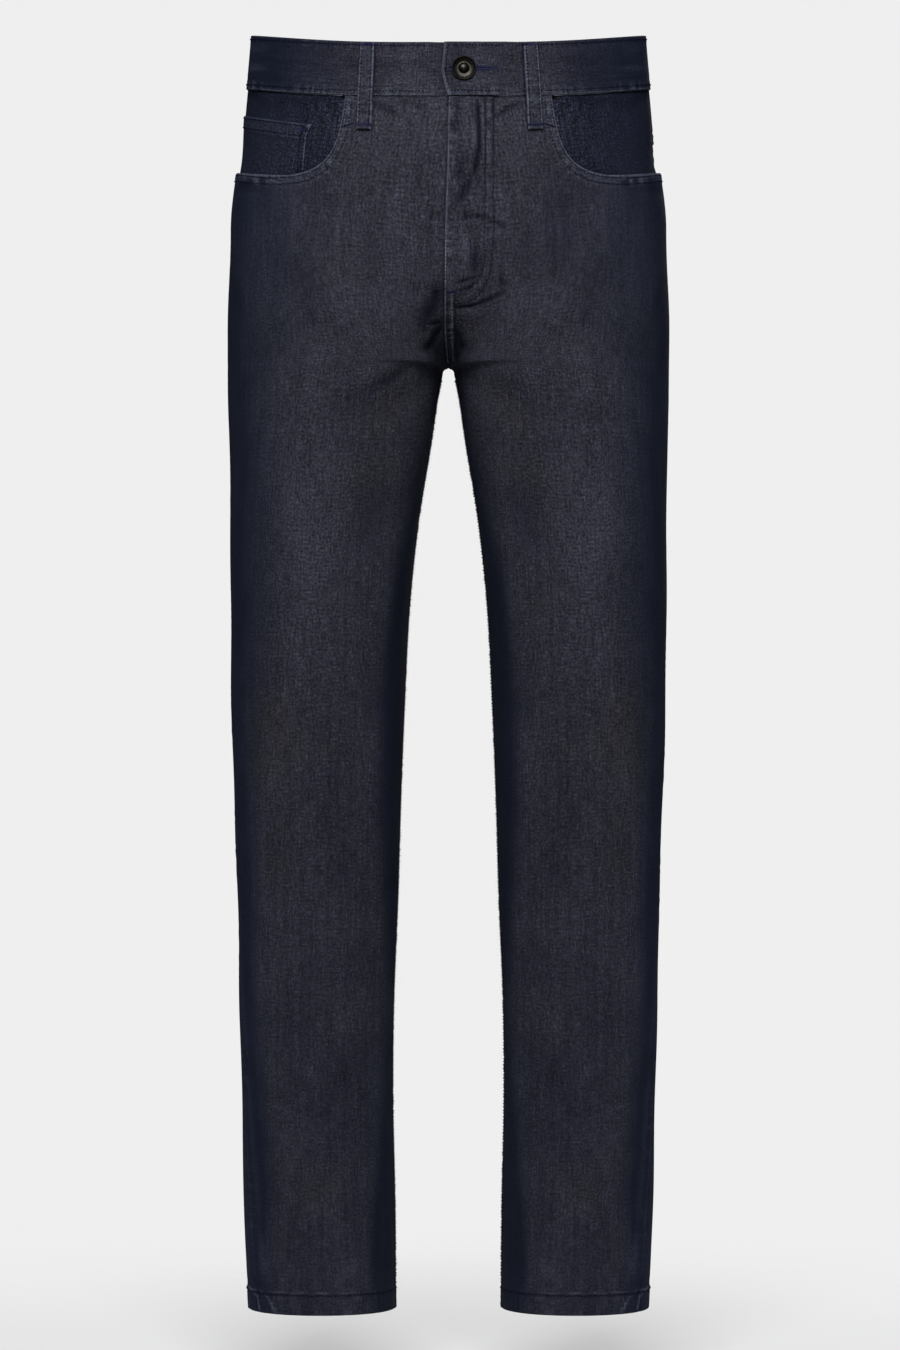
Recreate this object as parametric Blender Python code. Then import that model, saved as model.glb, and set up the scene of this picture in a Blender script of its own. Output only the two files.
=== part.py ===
"""Slim five-pocket denim jeans, filled out as on a standing figure, with the figure left out.

+Z is up and the front faces -Y. The origin is the centre of the waist opening, half way up
the waistband at the side. All lengths are in metres.

A point of the cloth is named by two numbers. "around" runs from 0 at the centre front (the
inseam, on a leg) through 0.5 at the widest point of the side to 1 at the centre back (the
inseam again), and is negative on the wearer's right side. "down" is the distance from the
waist edge, as measured along the side.
"""
import bmesh
import bpy
import numpy as np
from mathutils import Matrix, Vector

# The garment's main sizes
LENGTH = 1.0556
SIDE_TOP = 0.022
CROTCH_DOWN = 0.2750
CROTCH_ROW = 0.290
CROTCH_FADE = 0.11
FORK_HEIGHT = 0.085
FORK_ROW = 0.155
LEG_START = 0.10
LEG_FULL = 0.36
FORK_FULL = 0.27
WAIST_DIP = 0.017
WAIST_RISE = 0.005
WAIST_DIP_END = 0.200
ARCH_RADIUS = 0.0045
LEG_SQUARENESS = 2.12
HIP_SQUARENESS = 2.25
FORK_SQUARENESS = 2.9
SEAM_DRIFT = 0.088
SEAM_DRIFT_START = 0.62
HALF_GIRTH = 0.45

# Cloth and seams
CLOTH = 0.0014
SEAM_GAP = 0.0003
HEM_HEIGHT = 0.018
HEM_CLOTH = 0.0030
LIE_GAP = 0.0005

# Waistband
BAND_HEIGHT = 0.044
BAND_CLOTH = 0.0026
BAND_PROUD = 0.0012
LAP_END = -0.003
UNDERLAP_END = 0.041
LAP_SHIFT = 0.0015
LAP_CLEAR = 0.004
LAP_STEP = 0.012
LAP_COLUMNS = 7
RING_COLUMNS = 46

# Fly
FLY_END = 0.185
FLY_FADE_END = 0.213
FLY_EDGE = -0.0012
FLY_TUCK = 0.008
FLY_SHIFT = 0.0009
FLY_FADE_NEAR = 0.020
FLY_FADE_FAR = 0.045
ZIP_LENGTH = 0.108
ZIP_HALF_WIDTH = 0.014
ZIP_TAPE = 0.0010
ZIP_CHAIN = 0.0022

# Front pockets
MOUTH_START = 0.229
MOUTH_LOW = 0.1145
MOUTH_SQUARENESS = 3.7
MOUTH_LIFT = 0.0030
MOUTH_TO_FLY = 0.0025
FACING_DEPTH = 0.0036
FACING_SIDE_DEPTH = 0.0008
FACING_CLOTH = 0.0012
FACING_START = 0.185
FACING_DOWN = 0.155
FACING_SLANT = 0.05
COIN_CLOTH = 0.0010
COIN_START = 0.292
COIN_END = 0.486
COIN_TOP = 0.068
COIN_BOTTOM = 0.132
COIN_SLANT = 0.006
COIN_RISE = 0.002

# Yokes and back pockets
YOKE_SIDE = 0.080
YOKE_CENTRE = 0.116
POCKET_TOP_WIDTH = 0.146
POCKET_LOW_WIDTH = 0.122
POCKET_SIDE_HEIGHT = 0.132
POCKET_POINT = 0.018
POCKET_CENTRE = 0.735
POCKET_TOP = 0.136
POCKET_CLOTH = 0.0011
POCKET_GAP = 0.0009

# Belt loops
LOOP_WIDTH = 0.0115
LOOP_TOP = 0.0005
LOOP_BOTTOM = 0.070
LOOP_CLOTH = 0.0017
LOOP_SLACK = 0.0021

# Button
BUTTON_RADIUS = 0.0100
BUTTON_X = 0.0123
BUTTON_DOWN = 0.022
SHANK_RADIUS = 0.0034
NAIL_RADIUS = 0.0012
TACK_RADIUS = 0.0045
TACK_HEIGHT = 0.0012
BORE_SHORT = 0.0005
BUTTONHOLE_LENGTH = 0.022
BUTTONHOLE_HEIGHT = 0.0016
CLEARANCE = 0.0004
CUT_DEPTH = 0.010
BUTTON_PROFILE_COLUMNS = ("share_of_radius", "height_over_band")
BUTTON_PROFILE = ((0.86, 0.0), (1.0, 0.0010), (0.98, 0.0019), (0.86, 0.0023), (0.62, 0.0016),
                  (0.50, 0.0016), (0.38, 0.0024), (0.0, 0.0030))

# Outline of the cloth at each height, for the right half (x over 0)
SECTION_COLUMNS = ("down", "half_width", "inner", "side_y", "front_y", "back_y")
SECTIONS = (
    (-0.020, 0.1615, 0.0000, 0.002, -0.0945, 0.1000),
    (0.000, 0.1627, 0.0000, 0.002, -0.0955, 0.1010),
    (0.020, 0.1643, 0.0000, 0.003, -0.0970, 0.1032),
    (0.045, 0.1667, 0.0000, 0.004, -0.0995, 0.1072),
    (0.070, 0.1690, 0.0000, 0.005, -0.1032, 0.1140),
    (0.107, 0.1714, 0.0000, 0.007, -0.1088, 0.1262),
    (0.128, 0.1752, 0.0000, 0.008, -0.1108, 0.1310),
    (0.153, 0.1794, 0.0000, 0.008, -0.1125, 0.1362),
    (0.190, 0.1811, 0.0000, 0.008, -0.1140, 0.1408),
    (0.235, 0.1829, 0.0000, 0.007, -0.1118, 0.1358),
    (0.2756, 0.1828, 0.0000, 0.005, -0.1050, 0.1215),
    (0.302, 0.1826, 0.0048, 0.004, -0.1015, 0.1140),
    (0.335, 0.1818, 0.0096, 0.003, -0.0985, 0.1068),
    (0.402, 0.1809, 0.0204, 0.001, -0.0935, 0.0972),
    (0.468, 0.1805, 0.0275, -0.001, -0.0890, 0.0905),
    (0.551, 0.1797, 0.0320, -0.003, -0.0800, 0.0765),
    (0.634, 0.1776, 0.0353, -0.003, -0.0715, 0.0662),
    (0.717, 0.1751, 0.0378, 0.002, -0.0635, 0.0705),
    (0.800, 0.1739, 0.0412, 0.007, -0.0575, 0.0750),
    (0.883, 0.1714, 0.0420, 0.009, -0.0545, 0.0735),
    (0.966, 0.1702, 0.0403, 0.008, -0.0530, 0.0690),
    (1.060, 0.1660, 0.0395, 0.006, -0.0540, 0.0660),
)

# The largest folds: soft troughs (depth under 0) and ridges along a line on the cloth.
# A fold on both sides of the garment has side 0.
FOLD_COLUMNS = ("side", "around_a", "down_a", "around_b", "down_b", "width", "depth")
FOLDS = (
    (-1, 0.045, 0.288, 0.240, 0.335, 0.014, -0.0022),
    (1, 0.050, 0.292, 0.215, 0.322, 0.013, -0.0018),
    (-1, 0.060, 0.240, 0.105, 0.262, 0.012, -0.0016),
    (0, 0.300, 0.175, 0.240, 0.260, 0.016, -0.0020),
    (0, 0.890, 0.318, 0.700, 0.304, 0.013, -0.0028),
    (0, 0.870, 0.348, 0.740, 0.340, 0.012, -0.0016),
    (-1, 0.880, 0.590, 0.660, 0.618, 0.013, -0.0028),
    (-1, 0.860, 0.640, 0.640, 0.626, 0.012, -0.0020),
    (1, 0.870, 0.612, 0.650, 0.588, 0.013, -0.0026),
    (1, 0.850, 0.655, 0.660, 0.668, 0.012, -0.0018),
    (0, 0.060, 0.818, 0.290, 0.900, 0.018, -0.0020),
    (0, 0.900, 0.905, 0.700, 0.935, 0.015, -0.0018),
)

# Rows of the panels, as distances down the side
PANEL_ROWS = (0.130, 0.155, 0.185, 0.213, 0.241, 0.267, CROTCH_ROW, 0.293, 0.301, 0.321, 0.353,
              0.395, 0.440, 0.490, 0.540, 0.585, 0.625, 0.665, 0.710, 0.765, 0.825, 0.885, 0.945,
              LENGTH - HEM_HEIGHT - 0.003, LENGTH - HEM_HEIGHT, LENGTH)
MOUTH_ROWS = 8
COLUMNS = 12

LEFT, RIGHT = 1, -1


def ease(value, start, end):
    """0 before start, 1 after end, and a smooth S between them."""
    t = np.clip((np.asarray(value, dtype=float) - start) / (end - start), 0.0, 1.0)
    return t * t * (3.0 - 2.0 * t)


def section(name, down):
    """A column of SECTIONS at any height: cubic pieces whose slopes come from the neighbours."""
    table = np.array(SECTIONS)
    heights = table[:, 0]
    values = table[:, SECTION_COLUMNS.index(name)]
    slopes = np.gradient(values, heights)
    i = np.clip(np.searchsorted(heights, down) - 1, 0, len(heights) - 2)
    step = heights[i + 1] - heights[i]
    t = np.clip((down - heights[i]) / step, 0.0, 1.0)
    near = (1 + 2 * t) * (1 - t) ** 2 * values[i] + t * (1 - t) ** 2 * step * slopes[i]
    far = t * t * (3 - 2 * t) * values[i + 1] - t * t * (1 - t) * step * slopes[i + 1]
    return near + far


def oval(x_part, y_part, half_x, half_y, squareness):
    """Distance from the centre to a rounded oval, along the direction (x_part, y_part)."""
    power = (np.abs(x_part) / half_x) ** squareness + (np.abs(y_part) / half_y) ** squareness
    return power ** (-1.0 / squareness)


def form(around, down):
    """The smooth form of one half of the garment, without folds.

    Each row is a blend of a leg's closed ring and the hip's half oval. At the inner edge the
    blend runs as a quarter ellipse from the centre seam under to the crotch.
    """
    inner_pull = np.cos(np.pi * around) ** 2
    turn = np.pi / 2 * np.clip((CROTCH_ROW - down) / (CROTCH_ROW - FORK_ROW), 0.0, 1.0)
    fork_top = CROTCH_DOWN - FORK_HEIGHT
    above = down + (fork_top - FORK_ROW) * ease(down, BAND_HEIGHT, FORK_ROW)
    under = CROTCH_DOWN - FORK_HEIGHT * (1 - np.cos(turn))
    rise = 1 - ease(down, CROTCH_ROW, CROTCH_ROW + CROTCH_FADE)
    below = down + (CROTCH_DOWN - CROTCH_ROW) * rise
    inner_down = np.where(down < FORK_ROW, above, np.where(down < CROTCH_ROW, under, below))
    tilt = np.sin(np.pi / 2 * np.cos(np.pi * around))
    dip = WAIST_RISE * tilt + (WAIST_DIP - WAIST_RISE) * np.maximum(tilt, 0.0) ** 1.5
    depth = down + dip * (1 - ease(down, BAND_HEIGHT, WAIST_DIP_END))
    depth = depth + (inner_down - down) * inner_pull

    edge_share = np.sin(turn)
    middle_share = 1 - ease(down, LEG_START, LEG_FULL)
    hip_share = edge_share + (middle_share - edge_share) * (1 - inner_pull ** 5)

    half_width = section("half_width", depth)
    side_y = section("side_y", depth)
    arch = np.clip(depth - CROTCH_DOWN, 0.0, ARCH_RADIUS)
    inner = section("inner", depth) + np.sqrt(arch * (2 * ARCH_RADIUS - arch))
    is_front = around < 0.5
    reach = np.where(is_front, side_y - section("front_y", depth),
                     section("back_y", depth) - side_y)

    ring_x, ring_y = -np.cos(2 * np.pi * around), -np.sin(2 * np.pi * around)
    ring = oval(ring_x, ring_y, (half_width - inner) / 2, reach, LEG_SQUARENESS)
    hip_x, hip_y = np.sin(np.pi * around), -np.cos(np.pi * around)
    toward_fork = ease(down, LEG_START, FORK_FULL)
    squareness = HIP_SQUARENESS + (FORK_SQUARENESS - HIP_SQUARENESS) * toward_fork
    hip = oval(hip_x, hip_y, half_width, reach, squareness)

    x = (1 - hip_share) * ((half_width + inner) / 2 + ring * ring_x) + hip_share * hip * hip_x
    y = side_y + (1 - hip_share) * ring * ring_y + hip_share * hip * hip_y
    return np.stack(np.broadcast_arrays(x, y, SIDE_TOP - depth), axis=-1)


def outward(around, down):
    """Unit normals of the smooth form."""
    step = 1e-4
    low, high = np.maximum(around - step, 0.0), np.minimum(around + step, 1.0)
    across = form(high, down) - form(low, down)
    along = form(around, down + step) - form(around, down - step)
    normal = np.cross(along, across)
    return normal / np.linalg.norm(normal, axis=-1, keepdims=True)


def fold_height(side, around, down):
    """Height of the folds over the smooth form: each fades across its width and to its ends."""
    total = np.zeros(np.broadcast(around, down).shape)
    for fold in FOLDS:
        row = dict(zip(FOLD_COLUMNS, fold))
        if row["side"] in (0, side):
            start = np.array([row["around_a"] * HALF_GIRTH, row["down_a"]])
            end = np.array([row["around_b"] * HALF_GIRTH, row["down_b"]])
            line = end - start
            length = np.linalg.norm(line)
            from_x, from_y = around * HALF_GIRTH - start[0], down - start[1]
            t = (from_x * line[0] + from_y * line[1]) / length ** 2
            off = (from_x * line[1] - from_y * line[0]) / length
            fade = np.exp(-(off / row["width"]) ** 2) * np.exp(-((t - 0.5) / 0.42) ** 4)
            total = total + row["depth"] * fade
    return total * ease(around, 0.0, 0.06) * (1 - ease(around, 0.94, 1.0))


def cloth(side, around, down, lift=0.0):
    """Points of the cloth of one side, moved out by lift. Under 0 and over 1, around goes on
    past the centre on to the other side."""
    around, down, lift = np.broadcast_arrays(*map(np.asarray, (around, down, lift)))
    around = np.where(np.abs(around) > 1.0, (around + 1.0) % 2.0 - 1.0, around)
    mirror = side * np.where(around < 0, -1.0, 1.0)
    half = np.abs(around)
    folds = np.where(mirror > 0, fold_height(LEFT, half, down), fold_height(RIGHT, half, down))
    point = form(half, down) + outward(half, down) * (folds + lift)[..., None]
    point[..., 0] *= mirror
    return point


def around_at(x, down):
    """The place around the front at which the cloth is x away from the centre plane."""
    sample = np.linspace(0.0, 0.5, 400)
    reach = form(sample, np.full(400, float(down)))[:, 0]
    return float(np.sign(x) * np.interp(abs(x), reach, sample))


def outseam(down):
    """The side seam runs down the widest line, and drifts forward below the knee."""
    return 0.5 - SEAM_DRIFT * ease(down, SEAM_DRIFT_START, LENGTH)


def mouth_lift(around, down):
    """How far the front stands proud of the form beside the pocket mouth."""
    return MOUTH_LIFT * ease(around, 0.27, 0.47) * (1 - ease(down, 0.118, 0.175))


def rows_between(start_around, start_down, end_around, end_down, columns, late=1.0):
    """A grid of places, each row from its start to its end. A late over 1 puts off the slope."""
    t = np.linspace(0.0, 1.0, columns + 1)[None, :]
    start_around, start_down, end_around, end_down = (
        np.asarray(v, dtype=float)[:, None]
        for v in (start_around, start_down, end_around, end_down))
    around = start_around + (end_around - start_around) * t
    down = start_down + (end_down - start_down) * t ** late
    return around, down


def trim_edge(grid, edge, rows):
    """Draw the first (0) or last (-1) column back by half a seam gap, along the given rows."""
    beside = 1 if edge == 0 else -2
    back = grid[rows, beside] - grid[rows, edge]
    back /= np.linalg.norm(back, axis=1, keepdims=True)
    grid[rows, edge] += back * SEAM_GAP / 2


def part_at_centre(side, grid, edge, rows):
    """Keep the points of a column half a seam gap off the centre plane, along the given rows."""
    away = np.maximum(side * grid[rows, edge, 0], SEAM_GAP / 2)
    grid[rows, edge, 0] = side * away


def wall(name, outer, inner, material):
    """A closed solid between an outer and an inner grid of points of the same shape."""
    rows, columns = outer.shape[:2]
    mesh = bmesh.new()
    front = [[mesh.verts.new(p) for p in row] for row in outer]
    back = [[mesh.verts.new(p) for p in row] for row in inner]
    for i in range(rows - 1):
        for j in range(columns - 1):
            mesh.faces.new((front[i][j], front[i + 1][j], front[i + 1][j + 1], front[i][j + 1]))
            mesh.faces.new((back[i][j], back[i][j + 1], back[i + 1][j + 1], back[i + 1][j]))
    loop = [(0, j) for j in range(columns)] + [(i, columns - 1) for i in range(1, rows)]
    loop += [(rows - 1, j) for j in range(columns - 2, -1, -1)]
    loop += [(i, 0) for i in range(rows - 2, 0, -1)]
    for (i, j), (k, m) in zip(loop, loop[1:] + loop[:1]):
        mesh.faces.new((front[i][j], front[k][m], back[k][m], back[i][j]))
    bmesh.ops.recalc_face_normals(mesh, faces=mesh.faces)
    bmesh.ops.triangulate(mesh, faces=mesh.faces, quad_method="SHORT_EDGE")
    data = bpy.data.meshes.new(name)
    mesh.to_mesh(data)
    mesh.free()
    return add_object(name, data, material)


def add_object(name, data, material):
    """Link a mesh into the scene with its own material."""
    data.shade_smooth()
    data.set_sharp_from_angle(angle=np.radians(40))
    piece = bpy.data.objects.new(name, data)
    piece.data.materials.append(make_material(name, *material))
    bpy.context.scene.collection.objects.link(piece)
    return piece


def make_material(name, color, roughness, metallic):
    """A plain Principled material."""
    material = bpy.data.materials.new(name)
    material.use_nodes = True
    shader = material.node_tree.nodes["Principled BSDF"]
    shader.inputs["Base Color"].default_value = (*color, 1.0)
    shader.inputs["Roughness"].default_value = roughness
    shader.inputs["Metallic"].default_value = metallic
    return material


DENIM = ((0.032, 0.036, 0.055), 0.85, 0.0)
DARK_DENIM = ((0.012, 0.016, 0.036), 0.85, 0.0)
LOOP_DENIM = ((0.022, 0.026, 0.045), 0.85, 0.0)
ZIP_TAPE_COLOR = ((0.012, 0.014, 0.022), 0.8, 0.0)
BLACK_NICKEL = ((0.22, 0.22, 0.24), 0.28, 1.0)


def mouth_edge(count):
    """Places along the pocket mouth, from the waistband seam round and out to the side."""
    angle = np.linspace(0.0, np.pi / 2, count)
    reach = oval(np.cos(angle), np.sin(angle), 1.0, 1.0, MOUTH_SQUARENESS)
    top = BAND_HEIGHT + SEAM_GAP
    around = 0.5 - (0.5 - MOUTH_START) * reach * np.cos(angle)
    return around, top + (MOUTH_LOW - top) * reach * np.sin(angle)


def wall_thickness(down):
    """The cloth's own thickness, and more where the hem is turned up inside."""
    return np.where(down > LENGTH - HEM_HEIGHT - 1e-4, HEM_CLOTH, CLOTH)


def fly_shift(x, down):
    """The front edges part by this much where one laps over the other."""
    beside = 1 - ease(np.abs(x), FLY_FADE_NEAR, FLY_FADE_FAR)
    return FLY_SHIFT * beside * (1 - ease(down, FLY_END, FLY_FADE_END))


def front_panel(side):
    """A front leg: centre seam, crotch curve and inseam on one edge, pocket mouth and side seam
    on the other. The wearer's left one laps over the right one down to the end of the fly."""
    mouth_around, mouth_down = mouth_edge(MOUTH_ROWS)
    lower = np.array(PANEL_ROWS)
    beside_mouth = np.linspace(BAND_HEIGHT + SEAM_GAP, MOUTH_LOW + MOUTH_TO_FLY, MOUTH_ROWS)
    start_down = np.concatenate((beside_mouth, lower))
    end_around = np.concatenate((mouth_around, outseam(lower)))
    end_down = np.concatenate((mouth_down, lower))
    edge_x = np.where(start_down < FLY_END, FLY_EDGE if side == LEFT else -FLY_TUCK, 0.0)
    start_around = np.array([around_at(x, d) if x else 0.0 for x, d in zip(edge_x, start_down)])
    around, down = rows_between(start_around, start_down, end_around, end_down, COLUMNS, 1.6)

    x = cloth(side, around, down)[..., 0]
    shift = side * fly_shift(x, down) + mouth_lift(around, down)
    thickness = wall_thickness(down)
    outer = cloth(side, around, down, shift)
    inner = cloth(side, around, down, shift - thickness)
    for grid in (outer, inner):
        trim_edge(grid, -1, slice(None))
        trim_edge(grid, 0, start_down >= CROTCH_ROW)
        part_at_centre(side, grid, 0, start_down >= FLY_END)
    suffix = "left" if side == LEFT else "right"
    return wall(f"front_panel_{suffix}", outer, inner, DENIM)


def yoke_seam(around):
    """The yoke seam falls from the side to the centre back."""
    return YOKE_SIDE + (YOKE_CENTRE - YOKE_SIDE) * (around - 0.5) / 0.5


def back_panel(side):
    """A back leg, from the yoke seam to the hem."""
    lower = np.array(PANEL_ROWS[1:])
    under_yoke = np.array([SEAM_GAP, 0.4 * (lower[0] - YOKE_SIDE), 0.7 * (lower[0] - YOKE_SIDE)])
    slope = (YOKE_CENTRE - YOKE_SIDE) * np.array([1.0, 0.6, 0.3])
    start_down = np.concatenate((YOKE_SIDE + under_yoke, lower))
    end_down = np.concatenate((YOKE_SIDE + under_yoke + slope, lower))
    start_around = outseam(start_down)
    end_around = np.ones(len(start_down))
    around, down = rows_between(start_around, start_down, end_around, end_down, COLUMNS)
    thickness = wall_thickness(down)
    outer = cloth(side, around, down)
    inner = cloth(side, around, down, -thickness)
    for grid in (outer, inner):
        trim_edge(grid, 0, slice(None))
        trim_edge(grid, -1, start_down >= CROTCH_ROW)
        part_at_centre(side, grid, -1, slice(None))
    suffix = "left" if side == LEFT else "right"
    return wall(f"back_panel_{suffix}", outer, inner, DENIM)


def yoke(side):
    """The shaped piece between the waistband and a back leg."""
    across = np.linspace(0.5, 1.0, COLUMNS + 1)
    share = np.linspace(0.0, 1.0, 5)[:, None]
    top = BAND_HEIGHT + SEAM_GAP
    down = top + (yoke_seam(across)[None, :] - top) * share
    around = np.broadcast_to(across, down.shape)
    outer, inner = cloth(side, around, down), cloth(side, around, down, -CLOTH)
    for grid in (outer, inner):
        trim_edge(grid, 0, slice(None))
        part_at_centre(side, grid, -1, slice(None))
    suffix = "left" if side == LEFT else "right"
    return wall(f"yoke_{suffix}", outer, inner, DENIM)


def facing_depth(around, down):
    """How far the pocket facing lies behind the form: least beside the side seam."""
    at_side = ease(around, 0.37, 0.49) * (1 - ease(down, 0.110, 0.160))
    return FACING_DEPTH + (FACING_SIDE_DEPTH - FACING_DEPTH) * at_side


def pocket_facing(side):
    """The cloth that shows in a front pocket's mouth, and runs on behind the front."""
    top = BAND_HEIGHT + SEAM_GAP
    rows = np.linspace(top, FACING_DOWN, 6)
    start = np.linspace(FACING_START, FACING_START + FACING_SLANT, 6)
    around, down = rows_between(start, rows, np.full(6, 0.5), rows, 8)
    depth = facing_depth(around, down)
    outer = cloth(side, around, down, -depth)
    inner = cloth(side, around, down, -depth - FACING_CLOTH)
    for grid in (outer, inner):
        trim_edge(grid, -1, slice(None))
    suffix = "left" if side == LEFT else "right"
    return wall(f"pocket_facing_{suffix}", outer, inner, DARK_DENIM)


def coin_pocket():
    """The small pocket on the wearer's right facing, its lower part behind the front."""
    share = np.linspace(0.0, 1.0, 6)
    start = COIN_START - COIN_SLANT * share
    start_down = COIN_TOP + (COIN_BOTTOM - COIN_TOP) * share
    end_down = COIN_TOP - COIN_RISE * (1 - share) + (COIN_BOTTOM - COIN_TOP) * share
    around, down = rows_between(start, start_down, np.full(6, COIN_END), end_down, 9)
    under = facing_depth(around, down) - LIE_GAP
    outer = cloth(RIGHT, around, down, -under + COIN_CLOTH)
    inner = cloth(RIGHT, around, down, -under)
    return wall("coin_pocket", outer, inner, DARK_DENIM)


def back_pocket(side):
    """A five-cornered patch pocket on a back leg."""
    across = np.linspace(-0.5, 0.5, 9)[None, :]
    share = np.linspace(0.0, 1.0, 7)[:, None]
    width = POCKET_TOP_WIDTH + (POCKET_LOW_WIDTH - POCKET_TOP_WIDTH) * share
    height = POCKET_SIDE_HEIGHT + POCKET_POINT * (1 - np.abs(2 * across))
    places = np.array([POCKET_CENTRE - 0.05, POCKET_CENTRE + 0.05])
    run = form(places, np.full(2, POCKET_TOP + POCKET_SIDE_HEIGHT / 2))
    per_metre = 0.1 / np.linalg.norm(run[1] - run[0])
    around = POCKET_CENTRE + across * width * per_metre
    down = POCKET_TOP + height * share
    outer = cloth(side, around, down, POCKET_GAP + POCKET_CLOTH)
    inner = cloth(side, around, down, POCKET_GAP)
    suffix = "left" if side == LEFT else "right"
    return wall(f"back_pocket_{suffix}", outer, inner, DENIM)


def band_path():
    """Places round the waistband, from the end tucked under to the end that laps over it, with
    the way that each lies in or out of the ring."""
    tucked = np.linspace(UNDERLAP_END, LAP_END - LAP_CLEAR, LAP_COLUMNS)
    lapped = np.linspace(UNDERLAP_END + LAP_CLEAR, LAP_END, LAP_COLUMNS)
    ring_ends = (LAP_END - LAP_CLEAR - LAP_STEP, UNDERLAP_END + LAP_CLEAR + LAP_STEP)
    tucked, lapped, ring_ends = (
        np.array([around_at(x, BUTTON_DOWN) for x in places])
        for places in (tucked, lapped, ring_ends))
    ring = np.linspace(ring_ends[0], ring_ends[1] - 2.0, RING_COLUMNS)
    around = np.concatenate((tucked, ring, lapped - 2.0))
    shift = np.repeat((-LAP_SHIFT, 0.0, LAP_SHIFT), (LAP_COLUMNS, RING_COLUMNS, LAP_COLUMNS))
    return around, shift


def waistband():
    """One strip round the waist: the wearer's left end laps over the right end."""
    around, shift = band_path()
    down = np.linspace(0.0, BAND_HEIGHT, 3)[:, None]
    outer = cloth(LEFT, around[None, :], down, BAND_PROUD + shift[None, :])
    inner = cloth(LEFT, around[None, :], down, BAND_PROUD - BAND_CLOTH + shift[None, :])
    band = wall("waistband", outer, inner, DENIM)

    centre, facing = button_seat()
    cut_round_hole(band, "keyhole_cutter", centre, facing, SHANK_RADIUS + CLEARANCE, CUT_DEPTH)
    cut_round_hole(band, "nail_hole_cutter", centre, facing, NAIL_RADIUS + CLEARANCE, -CUT_DEPTH)
    slit = bmesh.new()
    bmesh.ops.create_cube(slit, size=1.0)
    size = Vector((BUTTONHOLE_LENGTH, CUT_DEPTH, BUTTONHOLE_HEIGHT))
    middle = centre + Vector((BUTTONHOLE_LENGTH / 2, -CUT_DEPTH / 2, 0.0))
    bmesh.ops.transform(slit, matrix=Matrix.Translation(middle) @ Matrix.Diagonal(size).to_4x4(),
                        verts=slit.verts)
    cut(band, "slit_cutter", slit)
    return band


def button_seat():
    """The middle of the lapped band at the button, and the way out through it."""
    around = np.array([around_at(BUTTON_X, BUTTON_DOWN)])
    down = np.array([BUTTON_DOWN])
    middle = cloth(LEFT, around, down, BAND_PROUD - BAND_CLOTH / 2)[0]
    return Vector(middle), Vector(outward(around, down)[0])


def cut_round_hole(piece, name, centre, facing, radius, reach):
    """Cut a round hole from centre along facing, out (reach over 0) or in."""
    turn = facing.to_track_quat("Z", "Y").to_matrix().to_4x4()
    cutter = bmesh.new()
    place = Matrix.Translation(centre + facing * reach / 2) @ turn
    bmesh.ops.create_cone(cutter, cap_ends=True, segments=20, radius1=radius, radius2=radius,
                          depth=abs(reach), matrix=place)
    cut(piece, name, cutter)


def cut(piece, name, shape):
    """Subtract a shape from a piece with a Boolean modifier."""
    data = bpy.data.meshes.new(name)
    shape.to_mesh(data)
    shape.free()
    cutter = bpy.data.objects.new(name, data)
    cutter.hide_render = True
    cutter.display_type = "WIRE"
    bpy.context.scene.collection.objects.link(cutter)
    boolean = piece.modifiers.new(name, "BOOLEAN")
    boolean.object = cutter
    boolean.solver = "EXACT"


def belt_loop(name, around_top, around_bottom):
    """A strip that stands off the waistband between its two sewn ends."""
    rows = 9
    share = np.linspace(0.0, 1.0, rows)[:, None]
    across = np.linspace(-0.5, 0.5, 3)[None, :]
    down = LOOP_TOP + (LOOP_BOTTOM - LOOP_TOP) * share
    middle = around_top + (around_bottom - around_top) * share
    run = cloth(LEFT, np.array([around_top - 0.01, around_top + 0.01]), np.full(2, 0.02))
    per_metre = 0.02 / np.linalg.norm(run[1] - run[0])
    around = middle + across * LOOP_WIDTH * per_metre
    on_band = 1 - ease(down, BAND_HEIGHT - 0.002, LOOP_BOTTOM - 0.006)
    slack = LOOP_SLACK * np.sin(np.pi * np.clip(share / 0.92, 0, 1)) ** 1.2
    lift = LIE_GAP + BAND_PROUD * on_band + slack + 0.0002
    outer = cloth(LEFT, around, down, lift + LOOP_CLOTH)
    inner = cloth(LEFT, around, down, lift)
    return wall(name, outer, inner, LOOP_DENIM)


def fly_zip():
    """The closed zip behind the fly, a tape with a raised chain along its middle."""
    rows = np.linspace(BAND_HEIGHT + ZIP_LENGTH * 0.03, BAND_HEIGHT + ZIP_LENGTH, 10)
    places = np.array([-1.0, -0.2, -0.1, 0.1, 0.2, 1.0]) * ZIP_HALF_WIDTH + 0.003
    around = np.array([[around_at(x, d) for x in places] for d in rows])
    down = np.broadcast_to(rows[:, None], around.shape)
    chain = np.array([0.0, 0.0, 1.0, 1.0, 0.0, 0.0]) * (ZIP_CHAIN - ZIP_TAPE)
    back = -(CLOTH + FLY_SHIFT + LIE_GAP)
    outer = cloth(LEFT, around, down, back)
    inner = cloth(LEFT, around, down, back - ZIP_TAPE - chain[None, :])
    return wall("fly_zip", outer, inner, ZIP_TAPE_COLOR)


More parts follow.
